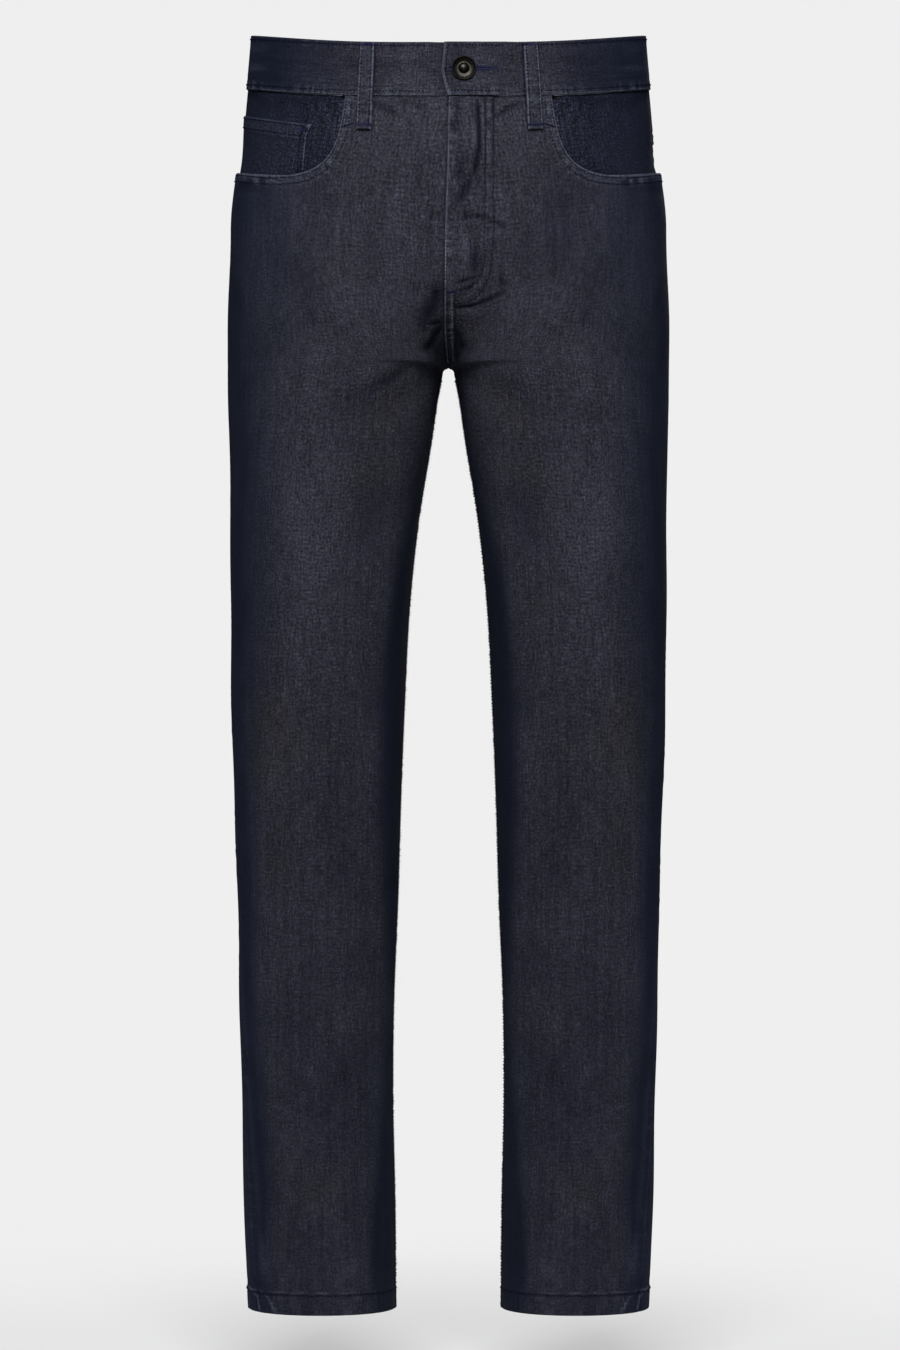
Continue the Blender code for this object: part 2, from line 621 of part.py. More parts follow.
def turned(name, profile, centre, facing, segments, material):
    """A round solid from a profile of (radius, height) points, turned about facing."""
    mesh = bmesh.new()
    frame = Matrix.Translation(centre) @ facing.to_track_quat("Z", "Y").to_matrix().to_4x4()
    rings = []
    for radius, height in profile:
        if radius == 0:
            rings.append([mesh.verts.new(frame @ Vector((0, 0, height)))])
        else:
            angles = np.arange(segments) * 2 * np.pi / segments
            rings.append([mesh.verts.new(frame @ Vector((radius * np.cos(a), radius * np.sin(a),
                                                         height))) for a in angles])
    for low, high in zip(rings, rings[1:]):
        for k in range(segments):
            n = (k + 1) % segments
            corners = [low[k % len(low)], low[n % len(low)], high[n % len(high)], high[k % len(high)]]
            mesh.faces.new(list(dict.fromkeys(corners)))
    bmesh.ops.recalc_face_normals(mesh, faces=mesh.faces)
    bmesh.ops.triangulate(mesh, faces=mesh.faces)
    data = bpy.data.meshes.new(name)
    mesh.to_mesh(data)
    mesh.free()
    return add_object(name, data, material)


def button_and_tack():
    """The button's cap and shank, and the tack whose nail enters the shank from behind."""
    centre, facing = button_seat()
    over = BAND_CLOTH / 2 + LAP_SHIFT + CLEARANCE
    under = BAND_CLOTH / 2 - LAP_SHIFT + CLEARANCE
    behind = BAND_CLOTH / 2 + LAP_SHIFT + CLEARANCE
    bore = NAIL_RADIUS + CLEARANCE
    cap = [(0, over - BORE_SHORT), (bore, over - BORE_SHORT), (bore, under),
           (SHANK_RADIUS, under), (SHANK_RADIUS, over)]
    cap += [(BUTTON_RADIUS * share, over + height) for share, height in BUTTON_PROFILE]
    turned("button", cap, centre, facing, 28, BLACK_NICKEL)
    tack = [(0, over - 2 * BORE_SHORT), (NAIL_RADIUS, over - 2 * BORE_SHORT),
            (NAIL_RADIUS, -behind), (TACK_RADIUS, -behind),
            (TACK_RADIUS, -behind - TACK_HEIGHT * 2 / 3),
            (TACK_RADIUS * 0.8, -behind - TACK_HEIGHT), (0, -behind - TACK_HEIGHT)]
    turned("button_tack", tack, centre, facing, 20, BLACK_NICKEL)


for old in list(bpy.data.objects):
    bpy.data.objects.remove(old, do_unlink=True)

for SIDE in (LEFT, RIGHT):
    front_panel(SIDE)
    back_panel(SIDE)
    yoke(SIDE)
    pocket_facing(SIDE)
    back_pocket(SIDE)
coin_pocket()
waistband()
fly_zip()
belt_loop("belt_loop_front_left", 0.195, 0.188)
belt_loop("belt_loop_front_right", -0.193, -0.183)
belt_loop("belt_loop_back_left", 0.690, 0.690)
belt_loop("belt_loop_back_right", -0.690, -0.690)
belt_loop("belt_loop_centre", 1.0, 1.0)
button_and_tack()
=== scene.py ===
"""Slim denim jeans, filled out as on a standing figure, with the figure left out.

A place on the cloth is named by two numbers. "around" runs from 0 at the centre front (the
inseam, on a leg) through 0.5 at the widest point of the side to 1 at the centre back (the
inseam again), and is negative past the centre. "down" is the distance from the waist edge,
as measured along the side. The front faces -Y, and +X is the wearer's left.
"""
from functools import partial

import bpy
import numpy as np
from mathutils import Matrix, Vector


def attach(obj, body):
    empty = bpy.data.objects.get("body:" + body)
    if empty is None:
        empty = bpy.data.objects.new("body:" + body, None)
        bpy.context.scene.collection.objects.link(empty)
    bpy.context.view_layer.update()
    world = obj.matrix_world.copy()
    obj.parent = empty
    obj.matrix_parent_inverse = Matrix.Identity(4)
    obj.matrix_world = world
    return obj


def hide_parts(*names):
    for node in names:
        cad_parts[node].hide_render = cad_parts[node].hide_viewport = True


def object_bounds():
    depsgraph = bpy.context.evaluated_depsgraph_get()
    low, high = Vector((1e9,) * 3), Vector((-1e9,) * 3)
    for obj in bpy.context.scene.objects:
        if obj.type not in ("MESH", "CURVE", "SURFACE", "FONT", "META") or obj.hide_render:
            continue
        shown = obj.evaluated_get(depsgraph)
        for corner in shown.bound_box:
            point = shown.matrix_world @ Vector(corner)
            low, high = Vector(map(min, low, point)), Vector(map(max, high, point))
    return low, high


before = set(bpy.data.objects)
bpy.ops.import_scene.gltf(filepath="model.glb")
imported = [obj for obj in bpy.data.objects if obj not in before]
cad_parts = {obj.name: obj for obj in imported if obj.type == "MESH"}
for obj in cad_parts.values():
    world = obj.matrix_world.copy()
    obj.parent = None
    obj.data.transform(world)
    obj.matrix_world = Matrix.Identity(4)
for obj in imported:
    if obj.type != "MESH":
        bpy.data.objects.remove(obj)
cad_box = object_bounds()

# ---------------------------------------------------------------------------------------
# The room: a pale floor under a pale surround, and broad soft lamps. The camera stands level
# with the knees, straight in front.
EYE = (0.00125, -4.2, -0.5084)
FRAME_HEIGHT = 1.1205
FLOOR_DROP, FLOOR_SOLID, FLOOR_REACH = 0.065, 0.15, 1.2
PALE, AMBIENT = 0.862, 0.13

camera_data = bpy.data.cameras.new("camera")
camera_data.sensor_fit = "VERTICAL"
camera_data.sensor_height = 24.0
camera_data.lens = 24.0 * -EYE[1] / FRAME_HEIGHT
camera_data.clip_end = 60.0
camera = bpy.data.objects.new("camera", camera_data)
camera.location = EYE
camera.rotation_euler = (np.pi / 2, 0.0, 0.0)
bpy.context.scene.collection.objects.link(camera)
bpy.context.scene.camera = camera
bpy.context.scene.view_settings.view_transform = "Standard"


def lamp(name, place, aim, size, power, color=(1.0, 1.0, 1.0)):
    """A square area lamp that faces a point."""
    data = bpy.data.lights.new(name, "AREA")
    data.size, data.energy, data.color = size, power, color
    holder = bpy.data.objects.new(name, data)
    holder.location = place
    holder.rotation_euler = (Vector(aim) - Vector(place)).to_track_quat("-Z", "Y").to_euler()
    bpy.context.scene.collection.objects.link(holder)


lamp("front_lamp", (-0.08, -2.3, 1.5), (0.0, 0.0, -0.45), 1.1, 74.0)
lamp("back_lamp", (0.35, 2.4, 1.45), (0.0, 0.0, -0.45), 1.1, 84.0)
lamp("glint_lamp", (-1.5, -2.3, 0.75), (0.0, 0.0, 0.0), 0.22, 1.8)
lamp("left_lamp", (3.4, 0.4, 0.5), (0.0, 0.0, -0.5), 1.6, 8.0, (0.86, 0.92, 1.0))
lamp("right_lamp", (-3.4, 0.4, 0.5), (0.0, 0.0, -0.5), 1.6, 7.0, (0.86, 0.92, 1.0))


class Shade:
    """A value in a material. Sums written on it add Math nodes; node() adds any other node."""

    def __init__(self, tree, socket=None):
        self.tree, self.socket = tree, socket

    def node(self, kind, settings=(), inputs=(), output=0):
        """Add a node: its settings come first, then the values or links of its sockets."""
        made = self.tree.nodes.new(kind)
        for key, value in dict(settings).items():
            if key == "stops":
                for stop in list(made.color_ramp.elements)[1:]:
                    made.color_ramp.elements.remove(stop)
                made.color_ramp.elements[0].position = value[0][0]
                made.color_ramp.elements[0].color = value[0][1]
                for position, color in value[1:]:
                    made.color_ramp.elements.new(position).color = color
            else:
                setattr(made, key, value)
        for key, value in dict(inputs).items():
            if isinstance(value, Shade):
                self.tree.links.new(value.socket, made.inputs[key])
            else:
                made.inputs[key].default_value = value
        return Shade(self.tree, made.outputs[output])

    def maths(self, operation, *values):
        """A Math node on these values."""
        return self.node("ShaderNodeMath", {"operation": operation}, dict(enumerate(values)))

    def __add__(self, other):
        return self.maths("ADD", self, other)

    def __sub__(self, other):
        return self.maths("SUBTRACT", self, other)

    def __rsub__(self, other):
        return self.maths("SUBTRACT", other, self)

    def __mul__(self, other):
        return self.maths("MULTIPLY", self, other)

    __radd__, __rmul__ = __add__, __mul__

    def between(self, low, high):
        """0 below low, 1 above high, and a smooth S between them."""
        return self.node("ShaderNodeMapRange", {"interpolation_type": "SMOOTHSTEP"},
                         {"Value": self, "From Min": low, "From Max": high})

    def blend(self, first, second, kind="MIX"):
        """The first colour where this value is 0, and where it is 1 the second, laid over it or
        multiplied with it."""
        settings = {"data_type": "RGBA", "blend_type": kind}
        return self.node("ShaderNodeMix", settings, {0: self, 6: first, 7: second}, 2)

    def held(self, low=0.0, high=1.0):
        """This value kept between two others."""
        return self.maths("MINIMUM", self.maths("MAXIMUM", self, low), high)

    def times(self, color):
        """A colour made lighter or darker by this value."""
        return self.node("ShaderNodeVectorMath", {"operation": "SCALE"},
                         {0: color, "Scale": self})


def new_material(name):
    """A material, its Principled shader, and a Shade to build its nodes from."""
    made = bpy.data.materials.new(name)
    made.use_nodes = True
    tree = made.node_tree
    return made, tree.nodes["Principled BSDF"], Shade(tree)


def feed(shader, **values):
    """Set or link a shader's sockets; an underscore in a name stands for a space."""
    for key, value in values.items():
        target = shader.inputs[key.replace("_", " ")]
        if isinstance(value, Shade):
            value.tree.links.new(value.socket, target)
        else:
            target.default_value = value


def speckle(shade, vector, scale, detail=2.0, roughness=0.5, dimensions="3D"):
    """A Noise Texture value about 0.5."""
    return shade.node("ShaderNodeTexNoise", {"noise_dimensions": dimensions},
                      {"Vector": vector, "Scale": scale, "Detail": detail,
                       "Roughness": roughness})


def new_piece(name, points, faces, material):
    """A mesh object at the origin from points and arrays of quads or triangles."""
    data = bpy.data.meshes.new(name)
    corners = np.concatenate([f.ravel() for f in faces]).astype(np.int32)
    sizes = np.concatenate([np.full(len(f), f.shape[1]) for f in faces])
    starts = np.concatenate(([0], np.cumsum(sizes)[:-1])).astype(np.int32)
    data.vertices.add(len(points))
    data.vertices.foreach_set("co", np.asarray(points, np.float32).ravel())
    data.loops.add(len(corners))
    data.loops.foreach_set("vertex_index", corners)
    data.polygons.add(len(starts))
    data.polygons.foreach_set("loop_start", starts)
    data.update(calc_edges=True)
    data.shade_smooth()
    data.materials.append(material)
    piece = bpy.data.objects.new(name, data)
    bpy.context.scene.collection.objects.link(piece)
    return piece


floor_paint, floor_shader, shade = new_material("pale_floor")
place = shade.node("ShaderNodeTexCoord", (), (), 3)
grain = speckle(shade, place, 3.0)
from_middle = shade.node("ShaderNodeVectorMath", {"operation": "LENGTH"}, {0: place}, 1)
feed(floor_shader, Base_Color=(0.02 * grain + 0.70).times((1.0, 1.0, 1.0)), Roughness=0.9,
     Alpha=1.0 - from_middle.between(FLOOR_SOLID, FLOOR_REACH))
square = np.array(((-1.0, -1.0, 0.0), (1.0, -1.0, 0.0), (1.0, 1.0, 0.0), (-1.0, 1.0, 0.0)))
floor = new_piece("floor", square * FLOOR_REACH, [np.array([[0, 1, 2, 3]])], floor_paint)
floor.location.z = cad_box[0][2] - FLOOR_DROP

world = bpy.data.worlds.new("surround")
bpy.context.scene.world = world
world.use_nodes = True
sky = Shade(world.node_tree)
seen = sky.node("ShaderNodeLightPath", (), (), 0)
feed(world.node_tree.nodes["Background"], Color=(1.0, 1.0, 1.0, 1.0),
     Strength=seen * (PALE - AMBIENT) + AMBIENT)

# ---------------------------------------------------------------------------------------
# The front legs: two pieces of indigo twill, from the waistband to the hem, cut with a
# crotch curve, an inseam, a side seam and a curved pocket mouth.
LENGTH, SIDE_TOP = 1.0556, 0.022
CROTCH_DOWN, CROTCH_ROW, CROTCH_FADE = 0.2750, 0.290, 0.11
FORK_HEIGHT, FORK_ROW = 0.085, 0.155
LEG_START, LEG_FULL, FORK_FULL = 0.10, 0.36, 0.27
WAIST_DIP, WAIST_RISE, WAIST_DIP_END = 0.017, 0.005, 0.200
ARCH_RADIUS = 0.0045
LEG_SQUARENESS, HIP_SQUARENESS, FORK_SQUARENESS = 2.12, 2.25, 2.9
SEAM_DRIFT, SEAM_DRIFT_START = 0.088, 0.62
HALF_GIRTH = 0.45
CLOTH, SEAM_GAP, SEAM_TRIM = 0.0014, 0.0003, 0.00001
HEM_HEIGHT, HEM_CLOTH = 0.018, 0.0030
BAND_HEIGHT = 0.044
MOUTH_START, MOUTH_LOW, MOUTH_SQUARENESS = 0.229, 0.1145, 3.7
MOUTH_LIFT, MOUTH_TO_FLY = 0.0030, 0.0025
FLY_END, FLY_FADE_END, FLY_SHIFT = 0.185, 0.213, 0.0009
FLY_FADE_NEAR, FLY_FADE_FAR = 0.020, 0.045
FLY_TUCK = 0.008
RUB_AND_SHADE_HEIGHT = 0.0005
LEFT, RIGHT = 1, -1
SIDE_NAMES = {LEFT: "left", RIGHT: "right"}

# Outline of the cloth at each height, for the half with x over 0
SECTION_COLUMNS = ("down", "half_width", "inner", "side_y", "front_y", "back_y")
SECTIONS = np.array((
    (-0.020, 0.1615, 0.0000, 0.002, -0.0945, 0.1000),
    (0.000, 0.1627, 0.0000, 0.002, -0.0955, 0.1010),
    (0.020, 0.1643, 0.0000, 0.003, -0.0970, 0.1032),
    (0.045, 0.1667, 0.0000, 0.004, -0.0995, 0.1072),
    (0.070, 0.1690, 0.0000, 0.005, -0.1032, 0.1140),
    (0.107, 0.1714, 0.0000, 0.007, -0.1088, 0.1262),
    (0.128, 0.1752, 0.0000, 0.008, -0.1108, 0.1310),
    (0.153, 0.1794, 0.0000, 0.008, -0.1125, 0.1362),
    (0.190, 0.1811, 0.0000, 0.008, -0.1140, 0.1408),
    (0.235, 0.1829, 0.0000, 0.007, -0.1118, 0.1358),
    (0.2756, 0.1828, 0.0000, 0.005, -0.1050, 0.1215),
    (0.302, 0.1826, 0.0048, 0.004, -0.1015, 0.1140),
    (0.335, 0.1818, 0.0096, 0.003, -0.0985, 0.1068),
    (0.402, 0.1809, 0.0204, 0.001, -0.0935, 0.0972),
    (0.468, 0.1805, 0.0275, -0.001, -0.0890, 0.0905),
    (0.551, 0.1797, 0.0320, -0.003, -0.0800, 0.0765),
    (0.634, 0.1776, 0.0353, -0.003, -0.0715, 0.0662),
    (0.717, 0.1751, 0.0378, 0.002, -0.0635, 0.0705),
    (0.800, 0.1739, 0.0412, 0.007, -0.0575, 0.0750),
    (0.883, 0.1714, 0.0420, 0.009, -0.0545, 0.0735),
    (0.966, 0.1702, 0.0403, 0.008, -0.0530, 0.0690),
    (1.060, 0.1660, 0.0395, 0.006, -0.0540, 0.0660),
))
SECTION_SLOPES = np.gradient(SECTIONS, SECTIONS[:, 0], axis=0)

# The darker strips along the sides and the inseam, partly indigo kept and partly painted shade
# where the legs turn away from the light and shade each other: places where the side's begins
# and is full, where the inseam's is full and ends, and how strong the inseam's is
STRIP_COLUMNS = ("down", "side_start", "side_full", "inner_full", "inner_end", "inner_share")
STRIPS = np.array((
    (0.000, 0.220, 0.420, 0.000, 0.080, 1.0),
    (0.200, 0.220, 0.420, 0.000, 0.080, 1.0),
    (0.302, 0.292, 0.396, 0.010, 0.080, 1.0),
    (0.385, 0.290, 0.402, 0.036, 0.128, 1.0),
    (0.468, 0.298, 0.406, 0.090, 0.150, 1.0),
    (0.551, 0.328, 0.430, 0.090, 0.152, 1.0),
    (0.634, 0.352, 0.428, 0.078, 0.140, 1.0),
    (0.717, 0.360, 0.420, 0.045, 0.126, 1.0),
    (0.800, 0.360, 0.420, 0.010, 0.100, 0.7),
    (0.883, 0.335, 0.410, 0.040, 0.126, 0.9),
    (0.966, 0.330, 0.400, 0.090, 0.138, 1.0),
    (1.016, 0.350, 0.450, 0.098, 0.150, 1.0),
    (1.056, 0.330, 0.450, 0.090, 0.150, 0.8),
))

# Folds and creases: soft troughs (depth under 0) and ridges along lines on the cloth, which
# bow sideways by "bow" metres at their middle. Side 0 is both sides of the garment. Folds
# narrower than SHARP_WIDTH are painted fully, troughs darker with painted shade and ridges
# rubbed paler, and those wider than SOFT_WIDTH hardly at all. Folds wider than WIDE_FOLD
# fade out further from the centre front, the inseam and the centre back.
SHARP_WIDTH, SOFT_WIDTH, WEAR_AND_SHADE_DEPTH = 0.0030, 0.0085, 0.0014
WIDE_FOLD, WIDE_FADE, NARROW_FADE = 0.0105, 0.06, 0.008
FOLD_FLANK = 0.25
FOLD_COLUMNS = ("side", "around_a", "down_a", "around_b", "down_b", "bow", "width", "depth")
FOLDS = np.array((
    # the main folds, which the solid frame has too
    (-1, 0.045, 0.288, 0.240, 0.335, 0.000, 0.014, -0.0022),
    (1, 0.050, 0.292, 0.215, 0.322, 0.000, 0.013, -0.0018),
    (-1, 0.060, 0.240, 0.105, 0.262, 0.000, 0.012, -0.0016),
    (0, 0.300, 0.175, 0.240, 0.260, 0.000, 0.016, -0.0020),
    (0, 0.890, 0.318, 0.700, 0.304, 0.000, 0.013, -0.0028),
    (0, 0.870, 0.348, 0.740, 0.340, 0.000, 0.012, -0.0016),
    (-1, 0.880, 0.590, 0.660, 0.618, 0.000, 0.013, -0.0028),
    (-1, 0.860, 0.640, 0.640, 0.626, 0.000, 0.012, -0.0020),
    (1, 0.870, 0.612, 0.650, 0.588, 0.000, 0.013, -0.0026),
    (1, 0.850, 0.655, 0.660, 0.668, 0.000, 0.012, -0.0018),
    (0, 0.060, 0.818, 0.290, 0.900, 0.000, 0.018, -0.0020),
    (0, 0.900, 0.905, 0.700, 0.935, 0.000, 0.015, -0.0018),
    # fly: the facing's edge and the zip's fullness show through
    (1, 0.0690, 0.049, 0.0700, 0.080, 0.000, 0.0023, -0.0026),
    (1, 0.0700, 0.075, 0.0530, 0.098, 0.001, 0.0029, -0.0023),
    (1, 0.0560, 0.094, 0.0100, 0.119, 0.001, 0.0050, -0.0017),
    (1, 0.0600, 0.064, 0.0610, 0.084, 0.000, 0.0036, 0.0003),
    (1, 0.082, 0.056, 0.084, 0.090, 0.000, 0.0050, 0.0007),
    (1, 0.010, 0.103, 0.030, 0.090, 0.000, 0.0055, -0.0011),
    (1, 0.028, 0.1228, 0.080, 0.1258, 0.0004, 0.0018, -0.0018),
    (1, 0.076, 0.1253, 0.128, 0.1360, 0.0002, 0.0020, -0.0014),
    (1, 0.036, 0.1215, 0.026, 0.1290, 0.000, 0.0018, -0.0010),
    (1, 0.030, 0.130, 0.040, 0.172, 0.000, 0.0075, 0.0007),
    (1, 0.036, 0.131, 0.037, 0.162, 0.000, 0.0034, 0.0004),
    (1, 0.055, 0.144, 0.057, 0.172, 0.000, 0.0042, -0.0009),
    (1, 0.078, 0.148, 0.055, 0.176, 0.000, 0.0065, -0.0014),
    (1, 0.016, 0.1775, 0.070, 0.1735, -0.0005, 0.0020, -0.0014),
    (1, 0.042, 0.1860, 0.062, 0.1780, 0.000, 0.0020, -0.0011),
    (1, 0.010, 0.2005, 0.074, 0.2000, 0.0004, 0.0017, -0.0017),
    (1, 0.060, 0.2002, 0.135, 0.1920, -0.0010, 0.0030, -0.0013),
    (1, 0.118, 0.1700, 0.140, 0.1900, -0.0040, 0.0026, -0.0010),
    (1, 0.020, 0.206, 0.100, 0.205, 0.000, 0.0060, 0.0006),
    # under the waistband
    (1, 0.100, 0.0615, 0.165, 0.0500, 0.0008, 0.0018, -0.0013),
    (1, 0.205, 0.088, 0.178, 0.106, 0.001, 0.0050, -0.0007),
    (-1, 0.174, 0.0495, 0.113, 0.0590, 0.0006, 0.0026, -0.0009),
    (-1, 0.118, 0.049, 0.058, 0.053, 0.000, 0.0020, -0.0006),
    (-1, 0.035, 0.066, 0.120, 0.078, 0.001, 0.0090, -0.0005),
    # hip pocket bag and hips
    (1, 0.226, 0.098, 0.212, 0.150, -0.001, 0.0085, -0.0016),
    (1, 0.212, 0.140, 0.228, 0.202, 0.001, 0.0095, -0.0014),
    (1, 0.160, 0.128, 0.182, 0.190, 0.000, 0.0110, -0.0006),
    (-1, 0.205, 0.110, 0.235, 0.190, 0.000, 0.0130, -0.0007),
    (-1, 0.370, 0.126, 0.455, 0.129, 0.000, 0.0040, -0.0008),
    (1, 0.375, 0.127, 0.460, 0.131, 0.000, 0.0040, -0.0007),
    (0, 0.450, 0.200, 0.380, 0.232, 0.001, 0.0090, -0.0007),
    # crotch
    (-1, 0.058, 0.218, 0.018, 0.2130, 0.0006, 0.0020, -0.0017),
    (-1, 0.054, 0.235, 0.020, 0.219, 0.000, 0.0024, -0.0010),
    (-1, 0.017, 0.180, 0.042, 0.199, 0.000, 0.0058, -0.0015),
    (-1, 0.022, 0.191, 0.064, 0.213, -0.001, 0.0065, -0.0013),
    (-1, 0.012, 0.121, 0.046, 0.1245, 0.000, 0.0018, -0.0009),
    (-1, 0.016, 0.2145, 0.090, 0.2560, 0.000, 0.0048, -0.0023),
    (-1, 0.045, 0.236, 0.070, 0.284, 0.000, 0.0060, -0.0010),
    (1, 0.020, 0.2180, 0.064, 0.2520, 0.000, 0.0042, -0.0017),
    (1, 0.044, 0.238, 0.062, 0.290, 0.000, 0.0060, -0.0010),
    (1, 0.070, 0.236, 0.100, 0.262, 0.001, 0.0080, -0.0010),
    # thighs
    (-1, 0.141, 0.293, 0.182, 0.307, 0.001, 0.0055, -0.0018),
    (-1, 0.172, 0.304, 0.238, 0.317, -0.001, 0.0065, -0.0012),
    (1, 0.128, 0.300, 0.190, 0.318, 0.001, 0.0080, -0.0009),
    (0, 0.190, 0.374, 0.164, 0.430, 0.000, 0.0120, -0.0014),
    (1, 0.262, 0.318, 0.300, 0.326, 0.000, 0.0070, -0.0008),
    (-1, 0.330, 0.402, 0.290, 0.446, 0.002, 0.0160, -0.0010),
    (1, 0.350, 0.430, 0.300, 0.466, 0.002, 0.0160, -0.0009),
    # front of the knees
    (-1, 0.100, 0.548, 0.215, 0.566, 0.002, 0.0110, -0.0008),
    (1, 0.110, 0.560, 0.235, 0.549, -0.002, 0.0110, -0.0008),
    (-1, 0.130, 0.606, 0.300, 0.592, 0.002, 0.0120, -0.0009),
    (1, 0.120, 0.598, 0.290, 0.612, 0.002, 0.0120, -0.0008),
    # lower legs
    (-1, 0.021, 0.836, 0.200, 0.903, 0.002, 0.0100, -0.0010),
    (1, 0.026, 0.833, 0.237, 0.907, 0.002, 0.0100, -0.0010),
    (0, 0.440, 0.838, 0.380, 0.880, 0.001, 0.0090, -0.0012),
    (-1, 0.040, 0.700, 0.130, 0.722, 0.001, 0.0090, -0.0010),
    (1, 0.050, 0.690, 0.140, 0.716, 0.001, 0.0090, -0.0009),
    (-1, 0.060, 0.960, 0.180, 0.982, 0.001, 0.0100, -0.0008),
    (1, 0.070, 0.968, 0.200, 0.985, 0.001, 0.0100, -0.0008),
    (0, 0.400, 0.972, 0.330, 1.010, 0.001, 0.0090, -0.0008),
    # the hem's ropes beside the side seam
    (0, 0.458, 1.0350, 0.405, 1.0420, 0.000, 0.0018, 0.0007),
    (0, 0.406, 1.0400, 0.394, 1.0555, 0.0005, 0.0026, 0.0008),
    (0, 0.398, 1.0370, 0.366, 1.0430, 0.000, 0.0018, 0.0006),
    (0, 0.369, 1.0415, 0.349, 1.0555, 0.0003, 0.0026, 0.0008),
    # seat
    (0, 0.955, 0.225, 0.880, 0.272, 0.002, 0.0080, -0.0020),
    (0, 0.930, 0.282, 0.810, 0.306, 0.002, 0.0090, -0.0018),
    (-1, 0.860, 0.330, 0.690, 0.324, -0.002, 0.0060, -0.0014),
    (1, 0.850, 0.326, 0.720, 0.330, -0.002, 0.0060, -0.0013),
    (-1, 0.960, 0.130, 0.920, 0.180, 0.000, 0.0070, -0.0008),
    (1, 0.965, 0.150, 0.925, 0.200, 0.000, 0.0070, -0.0008),
    (0, 0.560, 0.190, 0.610, 0.262, 0.002, 0.0110, -0.0010),
    (-1, 0.590, 0.330, 0.680, 0.366, 0.002, 0.0100, -0.0010),
    (1, 0.580, 0.340, 0.660, 0.372, 0.002, 0.0100, -0.0010),
    # backs of the knees, where they bend
    (-1, 0.900, 0.560, 0.760, 0.574, 0.003, 0.0060, -0.0016),
    (-1, 0.800, 0.566, 0.650, 0.552, -0.003, 0.0060, -0.0013),
    (-1, 0.890, 0.604, 0.720, 0.622, 0.004, 0.0055, -0.0015),
    (-1, 0.850, 0.660, 0.690, 0.650, -0.003, 0.0065, -0.0014),
    (-1, 0.620, 0.600, 0.560, 0.575, 0.002, 0.0060, -0.0012),
    (-1, 0.630, 0.640, 0.560, 0.664, 0.002, 0.0060, -0.0010),
    (1, 0.890, 0.572, 0.740, 0.562, -0.003, 0.0060, -0.0015),
    (1, 0.880, 0.628, 0.700, 0.612, -0.004, 0.0055, -0.0016),
    (1, 0.840, 0.642, 0.700, 0.654, 0.003, 0.0060, -0.0012),
    (1, 0.860, 0.690, 0.720, 0.702, 0.003, 0.0065, -0.0012),
    (1, 0.620, 0.588, 0.555, 0.566, 0.002, 0.0060, -0.0012),
    (1, 0.620, 0.628, 0.560, 0.650, 0.002, 0.0060, -0.0010),
    # calves and back hems
    (-1, 0.880, 0.800, 0.740, 0.826, 0.002, 0.0100, -0.0010),
    (1, 0.870, 0.812, 0.720, 0.832, 0.002, 0.0100, -0.0010),
    (0, 0.640, 0.905, 0.560, 0.942, 0.002, 0.0100, -0.0010),
    (0, 0.860, 0.985, 0.720, 1.005, 0.002, 0.0090, -0.0010),
))


def ease(value, start, end):
    """0 before start, 1 after end, and a smooth S between them."""
    t = np.clip((np.asarray(value, dtype=float) - start) / (end - start), 0.0, 1.0)
    return t * t * (3.0 - 2.0 * t)


def bump_at(value, centre, width):
    """1 at the centre, fading as a bell to each side."""
    return np.exp(-((np.asarray(value, dtype=float) - centre) / width) ** 2)


def section(name, down):
    """A column of SECTIONS at any height: cubic pieces whose slopes come from the neighbours."""
    column, heights = SECTION_COLUMNS.index(name), SECTIONS[:, 0]
    values, slopes = SECTIONS[:, column], SECTION_SLOPES[:, column]
    i = np.clip(np.searchsorted(heights, down) - 1, 0, len(heights) - 2)
    step = heights[i + 1] - heights[i]
    t = np.clip((down - heights[i]) / step, 0.0, 1.0)
    near = (1 + 2 * t) * (1 - t) ** 2 * values[i] + t * (1 - t) ** 2 * step * slopes[i]
    far = t * t * (3 - 2 * t) * values[i + 1] - t * t * (1 - t) * step * slopes[i + 1]
    return near + far


def oval(x_part, y_part, half_x, half_y, squareness):
    """Distance from the centre to a rounded oval, along the direction (x_part, y_part)."""
    power = (np.abs(x_part) / half_x) ** squareness + (np.abs(y_part) / half_y) ** squareness
    return power ** (-1.0 / squareness)


